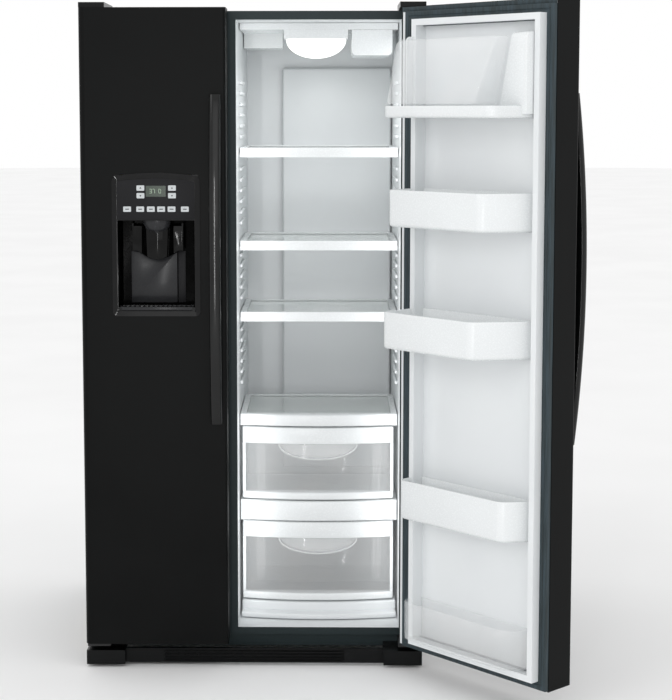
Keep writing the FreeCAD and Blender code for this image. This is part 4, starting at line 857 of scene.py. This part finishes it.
def make_dispenser():
    low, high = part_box("dispenser_housing")
    door_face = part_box("freezer_door_panel")[0].y
    button_low = min(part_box(n)[0].z for n in frame["nodes"] if n.endswith("_button"))
    niche_top = button_low - 22 * MM
    middle = (low.x + high.x) / 2
    reach = (high.x - low.x) / 2
    tub = add_block("dispenser_tub", low, high)
    pick(tub, "EDGE", lambda c, d: along_x(c, d) and c.z > high.z - MM)
    bpy.ops.mesh.subdivide(number_cuts=ARCH_LENGTHS - 1)
    lower_rows(tub, lambda x: TUB_ARCH * ((x - middle) / reach) ** 2,
               lambda c: c.z > high.z - MM)
    pick(tub, "EDGE", lambda c, d: abs(d.y) > 0.99 and abs(c.x - middle) > reach - MM)
    round_picked(13, 6)
    bpy.ops.mesh.select_all(action="SELECT")
    bpy.ops.mesh.bisect(plane_co=(0, door_face, 0), plane_no=(0, 1, 0))
    bpy.ops.mesh.select_all(action="SELECT")
    bpy.ops.mesh.bisect(plane_co=(0, door_face + 0.3 * MM, 0), plane_no=(0, 1, 0))
    pick(tub, "VERT", lambda c, n: c.y > door_face + 0.15 * MM)
    height = high.z - low.z
    centre = Vector((middle, 0, (low.z + high.z) / 2))
    bpy.ops.transform.resize(value=((2 * reach - 11 * MM) / (2 * reach), 1,
                                    (height - 22 * MM) / height), center_override=centre)
    # frame, then the panel and the niche inside it
    pick(tub, "FACE", lambda c, n: n.y < -0.99 and c.y < low.y + 0.2 * MM)
    bpy.ops.mesh.dissolve_faces()
    pick(tub, "FACE", lambda c, n: n.y < -0.99 and c.y < low.y + 0.2 * MM)
    inset(12 * MM)
    push(0, 2.9 * MM, 0)
    inset(1.5 * MM)
    bpy.ops.mesh.bisect(plane_co=(0, 0, niche_top), plane_no=(0, 0, 1))
    pick(tub, "FACE", lambda c, n: n.y < -0.99 and c.y < low.y + 3 * MM and c.z < niche_top
         and abs(c.x - middle) < reach / 2 and c.z > low.z + 40 * MM)
    inset(1.0 * MM)
    extrude(0, NICHE_DEPTH, 0)
    bpy.ops.transform.resize(value=(0.93, 1, 0.96))
    soften(tub, 2.6, 4, 40)
    complete(tub, piano_black, "freezer_door", "black_plastic", "dispenser_housing", angle=30)
    # the niche faces get the darker copy of the black: painted shade in the recess
    tub.data.materials.append(niche_shade_black)
    pick(tub, "FACE", lambda c, n: c.y > low.y + 5 * MM)
    tub.active_material_index = 1
    bpy.ops.object.material_slot_assign()
    bpy.ops.object.mode_set(mode="OBJECT")
    # the hole in the steel is square, so fillers close its corners behind the round ones
    for side in (-1, 1):
        for end, z in (("top", high.z - 22 * MM), ("foot", low.z + 6 * MM)):
            x = middle + side * (reach - 14 * MM)
            filler = add_block(f"corner_filler_{end}_{'left' if side < 0 else 'right'}",
                               (x - 9 * MM, door_face + 0.6 * MM, z),
                               (x + 9 * MM, door_face + 2.6 * MM, z + 17 * MM))
            soften(filler, 0.3, 1)
            complete(filler, satin_black, "freezer_door", "black_plastic")
    # the button panel, a satin plate with the same arched top
    half_panel = reach - 14 * MM
    plate = add_block("dispenser_panel",
                      (middle - half_panel, low.y + 2.45 * MM, niche_top + 1 * MM),
                      (middle + half_panel, low.y + 4 * MM, high.z - 15 * MM))
    pick(plate, "EDGE", lambda c, d: along_x(c, d) and c.z > niche_top + 20 * MM)
    bpy.ops.mesh.subdivide(number_cuts=ARCH_LENGTHS - 1)
    lower_rows(plate, lambda x: PANEL_ARCH * ((x - middle) / half_panel) ** 2,
               lambda c: c.z > niche_top + 20 * MM)
    soften(plate, 0.5, 2, 40)
    complete(plate, panel_grey, "freezer_door", "black_plastic")
    return low, high, niche_top, middle


niche_box = make_dispenser()

# %% [markdown]
# Inside the niche hang the chute and the spout, a splash plate stands behind them, and a slatted
# tray lies at the bottom. They are separate mouldings pressed into the tub.

# %% Chute, splash plate and tray
chute_grey = make_black_plastic("grey black ABS", "#252527", "#2d2e30",
                                0.16, 0.26, 1.2, 0.02, 0.2)
# the chute from above to below: how far each ring falls, and its share of the last one's width
CHUTE_RINGS = ((9, 0.94), (8, 0.88), (5, 0.84), (3, 0.8), (1, 0.5), (8, 0.8), (18, 0.9))
LEVER_RISE = 22 * MM
SLATS = 15
SLAT_START, SLAT_PITCH = 27, 12.4     # from the tub's side to the first slat, and slat to slat


def lever_rise(offset, reach):
    """How much of its full rise the lever's lower edge has at an offset from the middle."""
    return min(1, abs(offset) / (0.8 * reach)) ** 1.6


def make_niche_parts(low, high, niche_top, middle):
    paddle_low, paddle_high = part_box("dispenser_paddle")
    front = low.y
    # chute: a wide bowl, flattened front to back, that runs on as a narrow spout
    chute_y = front + 30 * MM
    chute = add_cylinder("dispenser_chute", vertices=64, radius=37 * MM, depth=8 * MM,
                         location=(middle, chute_y, niche_top - 1 * MM))
    pick(chute, "FACE", lambda c, n: n.z < -0.99)
    for fall, share in CHUTE_RINGS:
        extrude(0, 0, -fall * MM)
        bpy.ops.transform.resize(value=(share, share, 1))
    inset(2 * MM)
    extrude(0, 0, 14 * MM)
    bpy.ops.mesh.select_all(action="SELECT")
    bpy.ops.transform.resize(value=(1, 0.66, 1), center_override=(middle, chute_y, niche_top))
    soften(chute, 0.8, 2, 30)
    complete(chute, chute_grey, "freezer_door", "black_plastic")
    # splash plate on the back wall, and the darker strip beside it
    back = front + 62 * MM
    reach = (paddle_high.x - paddle_low.x) / 2 + 4 * MM
    joint = middle + 50 * MM
    for name, left, right, y, finish in (
            ("dispenser_splash_plate", middle - reach, joint, back, chute_grey),
            ("dispenser_splash_strip", joint + 3 * MM, middle + reach, back + 1.5 * MM,
             panel_grey)):
        plate = add_block(name, (left, y, low.z + 30 * MM),
                          (right, back + 3 * MM, paddle_low.z + 20 * MM))
        pick(plate, "EDGE", lambda c, d: along_x(c, d) and c.z > paddle_low.z)
        bpy.ops.mesh.subdivide(number_cuts=11)
        lower_rows(plate, lambda x: LEVER_RISE * (1 - lever_rise(x - middle, reach - 4 * MM)),
                   lambda c: c.z > paddle_low.z)
        soften(plate, 0.5, 2, 40)
        complete(plate, finish, "freezer_door", "black_plastic")
    # tray with slats
    tray = add_block("dispenser_tray", (low.x + 17 * MM, front + 4 * MM, low.z + 15 * MM),
                     (high.x - 17 * MM, front + 56 * MM, low.z + 24 * MM))
    hollow(tray, 4 * MM, 5 * MM)
    soften(tray, 1.2, 3, 40)
    complete(tray, chute_grey, "freezer_door", "black_plastic")
    slats = []
    for n in range(SLATS):
        x = low.x + (SLAT_START + n * SLAT_PITCH) * MM
        slat = add_block(f"tray_slat_{n}", (x, front + 7 * MM, low.z + 18 * MM),
                         (x + 4 * MM, front + 53 * MM, low.z + 23 * MM))
        soften(slat, 0.8, 2)
        slats.append(slat)
    complete(join_as("dispenser_tray_slats", slats), satin_black, "freezer_door",
             "black_plastic")


make_niche_parts(*niche_box)

# %% [markdown]
# ## Dispenser lever
# The lever that a glass is pushed against hangs from two arms. It is a thin plate whose middle
# bulges towards the room, and whose lower edge climbs from the middle to each side. The splash
# plate's top follows the same curve, so that the two never meet as the lever swings.

# %% Lever
LEVER_BULGE = 20 * MM
ARM = 5 * MM


def make_paddle():
    """A wide glossy lever whose middle bulges towards the room and whose foot is curved."""
    low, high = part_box("dispenser_paddle")
    middle = (low.x + high.x) / 2
    reach = (high.x - low.x) / 2
    top = high.z - 13 * MM
    lever = add_block("dispenser_lever", low, (high.x, low.y + 4 * MM, top))
    pick(lever, "EDGE", along_x)
    bpy.ops.mesh.subdivide(number_cuts=25)
    for x in stations(lever):
        across = (x - middle) / reach
        bulge = -LEVER_BULGE * max(0, 1 - (across / 0.6) ** 2) ** 0.7
        rise = LEVER_RISE * lever_rise(x - middle, reach)
        pick(lever, "VERT", lambda c, n: abs(c.x - x) < SAME_ROW)
        push(0, bulge, 0)
        pick(lever, "VERT", lambda c, n: abs(c.x - x) < SAME_ROW and c.z < low.z + MM)
        push(0, 0, rise)
    soften(lever, 1.0, 2, 50)
    complete(lever, lever_black, "dispenser_paddle", "black_plastic", "dispenser_paddle",
             angle=50)
    for side, x in (("left", low.x), ("right", high.x - ARM)):
        arm = add_block(f"lever_arm_{side}", (x, low.y, top - 2 * MM),
                        (x + ARM, high.y, high.z - 5 * MM))
        soften(arm, 1.0, 2)
        complete(arm, satin_black, "dispenser_paddle", "black_plastic")


make_paddle()

# %% [markdown]
# ## Digits and button marks
# The display shows two set temperatures as seven-segment digits, and the buttons carry small
# printed marks. Both are thin raised ink here: bars of one size laid out from a table of which
# segments each digit lights, and three-sided prisms for the arrows.

# %% Digits and marks
# which segments a digit lights; where each starts, in columns and rows, and the way it runs
SEGMENTS = {"3": "abgcd", "7": "abc", "0": "abcdef"}
SEGMENT_BARS = {"a": (0, 2, 1, 0), "b": (1, 1, 0, 1), "c": (1, 0, 0, 1), "d": (0, 0, 1, 0),
                "e": (0, 0, 0, 1), "f": (0, 1, 0, 1), "g": (0, 1, 1, 0)}
SEGMENT = 5.2 * MM
STROKE = 1 * MM
DIGIT_PLACES = ((10, "3"), (18, "7"), (34, "0"))     # millimetres from the display's side
digit_ink = make_finish("pale green digit", "#a9bfa6", "#b9cdb6", 0.4, 0.5, 2, 0.01)
mark_ink = make_finish("dark grey print", "#2b2d2f", "#37393b", 0.5, 0.6, 1, 0.01)


def make_digits():
    low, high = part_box("dispenser_display")
    bars = []
    for place, digit in DIGIT_PLACES:
        for segment in SEGMENTS[digit]:
            column, row, flat, upright = SEGMENT_BARS[segment]
            corner = Vector((low.x + place * MM + column * SEGMENT, low.y - 0.4 * MM,
                             low.z + 9 * MM + row * SEGMENT))
            size = Vector((SEGMENT if flat else STROKE, 0.5 * MM,
                           SEGMENT if upright else STROKE))
            bar = add_block("segment", corner, corner + size)
            soften(bar, 0.15, 1)
            bars.append(bar)
    complete(join_as("display_digits", bars), digit_ink, "freezer_door", "display")


def make_mark(button):
    low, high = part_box(button)
    middle = (low + high) / 2
    name = button.replace("_button", "_mark")
    if "warmer" in button or "colder" in button:
        turn = math.pi / 2 if "colder" in button else -math.pi / 2
        mark = add_cylinder(name, vertices=3, radius=3 * MM, depth=0.5 * MM,
                            location=(middle.x, low.y, middle.z), rotation=(turn, 0, 0))
    else:
        mark = add_block(name, (middle.x - 5 * MM, low.y - 0.25 * MM, middle.z - 1.2 * MM),
                         (middle.x + 5 * MM, low.y + 0.25 * MM, middle.z + 1.2 * MM))
    soften(mark, 0.1, 1)
    complete(mark, mark_ink, button, "black_plastic")


make_digits()
for button in sorted(n for n in frame["nodes"] if n.endswith("_button")):
    make_mark(button)

# %% [markdown]
# ## Inside of the fresh food compartment
# The drawn liner isn't a plain box. Rows of short ledges run up its side walls for the shelves, a
# raised air duct stands on the back wall, and the floor rises in two bowed steps under the drawers.

# %% Ledges, duct and floor steps
LEDGES_FOOT, LEDGES_TOP = 0.735, 1.60
LEDGE_PITCH = 30 * MM
DUCT_FOOT, DUCT_TOP = 0.40, 1.63
STEP_BULGE = 24 * MM


def make_inside():
    shelf_low, shelf_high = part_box("shelf_frames")
    for side, x0, x1 in (("left", shelf_low.x - 3 * MM, shelf_low.x + 4 * MM),
                         ("right", shelf_high.x - 4 * MM, shelf_high.x + 3 * MM)):
        ledges = []
        z = LEDGES_FOOT
        while z < LEDGES_TOP:
            # no ledge where a shelf's own rim already is
            if all(abs(z + 4 * MM - level) > LEDGE_PITCH for level in shelf_levels):
                ledge = add_block("ledge", (x0, shelf_low.y + 60 * MM, z),
                                  (x1, shelf_low.y + 250 * MM, z + 9 * MM))
                soften(ledge, 2.5, 3)
                ledges.append(ledge)
            z += LEDGE_PITCH
        complete(join_as(f"wall_ledges_{side}", ledges), liner_white, "cabinet", "white_liner")
    duct = add_block("back_air_duct",
                     (shelf_low.x + 105 * MM, shelf_high.y + 148 * MM, DUCT_FOOT),
                     (shelf_high.x - 1 * MM, shelf_high.y + 176 * MM, DUCT_TOP))
    soften(duct, 7, 4)
    complete(duct, liner_white, "cabinet", "white_liner")
    drawer_low, drawer_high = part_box("lower_drawer")
    # each step's front and back from the drawer's front, and its top below the drawer
    for label, y0, y1, fall, soft_mm in (("upper", 8, 60, 5, 6), ("lower", -26, 30, 30, 5)):
        step = front_bar(
            f"floor_step_{label}",
            (drawer_low.x - 3 * MM, drawer_low.y + y0 * MM, drawer_low.z - 46 * MM),
            (drawer_high.x + 8 * MM, drawer_low.y + y1 * MM, drawer_low.z - fall * MM),
            STEP_BULGE, soft_mm)
        complete(step, liner_white, "cabinet", "white_liner")


# heights at which the glass has points; the upper one of each close pair is a shelf's top
glass_tops = sorted({round(v.co.z, 3) for v in frame["nodes"]["shelf_glass"].data.vertices})
shelf_levels = [z for z, after in zip(glass_tops, glass_tops[1:] + [math.inf])
                if after - z > 50 * MM]
print("shelves at", shelf_levels)
make_inside()

# %% [markdown]
# ## Studio
# A catalogue picture has a pale floor that melts into a pale surround and broad soft lights: one
# high on the left and a fill from the front that reaches into the cabinet. A narrow light in front
# draws the highlight down the black fronts. The cabinet has its own lamp, and a thin strip inside
# each side of its opening evens out the shelves.

# %% Floor and surround
bpy.ops.mesh.primitive_circle_add(vertices=96, radius=40, fill_type="NGON", location=(0, 0, 0))
floor = bpy.context.object
floor.name = "studio_floor"
floor_material, tree, shader = new_material("pale studio floor", Roughness=0.9)
tint(tree, shader, noise(tree, 900, 2.0).outputs["Fac"], "#f4f4f4", "#f7f7f7")
floor.data.materials.append(floor_material)

world = bpy.data.worlds.new("pale surround")
world.use_nodes = True
surround = next(n for n in world.node_tree.nodes if n.type == "BACKGROUND")
surround.inputs["Color"].default_value = linear("#ffffff")
surround.inputs["Strength"].default_value = 1.0
bpy.context.scene.world = world
bpy.context.scene.view_settings.view_transform = "Standard"


def soft_light(name, place, target, width, height, power):
    bpy.ops.object.light_add(type="AREA", location=place)
    lamp = bpy.context.object
    lamp.name = name
    lamp.data.shape = "RECTANGLE"
    lamp.data.size, lamp.data.size_y = width, height
    lamp.data.energy = power
    lamp.rotation_euler = (Vector(target) - Vector(place)).to_track_quat("-Z", "Y").to_euler()


soft_light("high_left_light", (-3.2, -3.6, 3.6), (0, 0, 0.9), 2.4, 1.6, 25)
soft_light("front_fill", (0.4, -5.2, 2.2), (0, 0, 0.9), 3.0, 2.0, 12)
soft_light("narrow_front_light", (-0.55, -4.5, 1.0), (-0.25, 0, 1.0), 0.06, 1.8, 14)
lamp_low, lamp_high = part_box("lamp_lens")
lamp_place = (lamp_low + lamp_high) / 2
lamp_place.z = lamp_low.z - 12 * MM
soft_light("cabinet_lamp", lamp_place, lamp_place - Vector((0, 0.02, 1)), 0.15, 0.12, 0.6)
room_low, room_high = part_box("fridge_liner")
STRIP_MIDDLE = 0.92
for side, x in (("left", room_low.x + 20 * MM), ("right", room_high.x - 20 * MM)):
    soft_light(f"cabinet_strip_{side}", (x, room_low.y + 25 * MM, STRIP_MIDDLE),
               ((room_low.x + room_high.x) / 2, room_high.y, STRIP_MIDDLE), 0.03, 1.55, 0.7)
print("studio ready")

# %% [markdown]
# ## Camera
# A long lens at eye height, from well in front. It tilts down by a few degrees, and a downward
# shift of the picture does the rest, so that the upright edges stay close to upright.

# %% Camera
bpy.ops.object.camera_add(location=(0.0015, -4.632, 1.504),
                          rotation=[math.radians(a) for a in (90 - 5.65, 0.042, 0.849)])
camera = bpy.context.object
camera.name = "front_camera"
camera.data.sensor_width = 36
camera.data.lens = 86.6
camera.data.shift_x = 0.049
camera.data.shift_y = -0.105
bpy.context.scene.camera = camera
print("lens", round(camera.data.lens, 1), "mm")
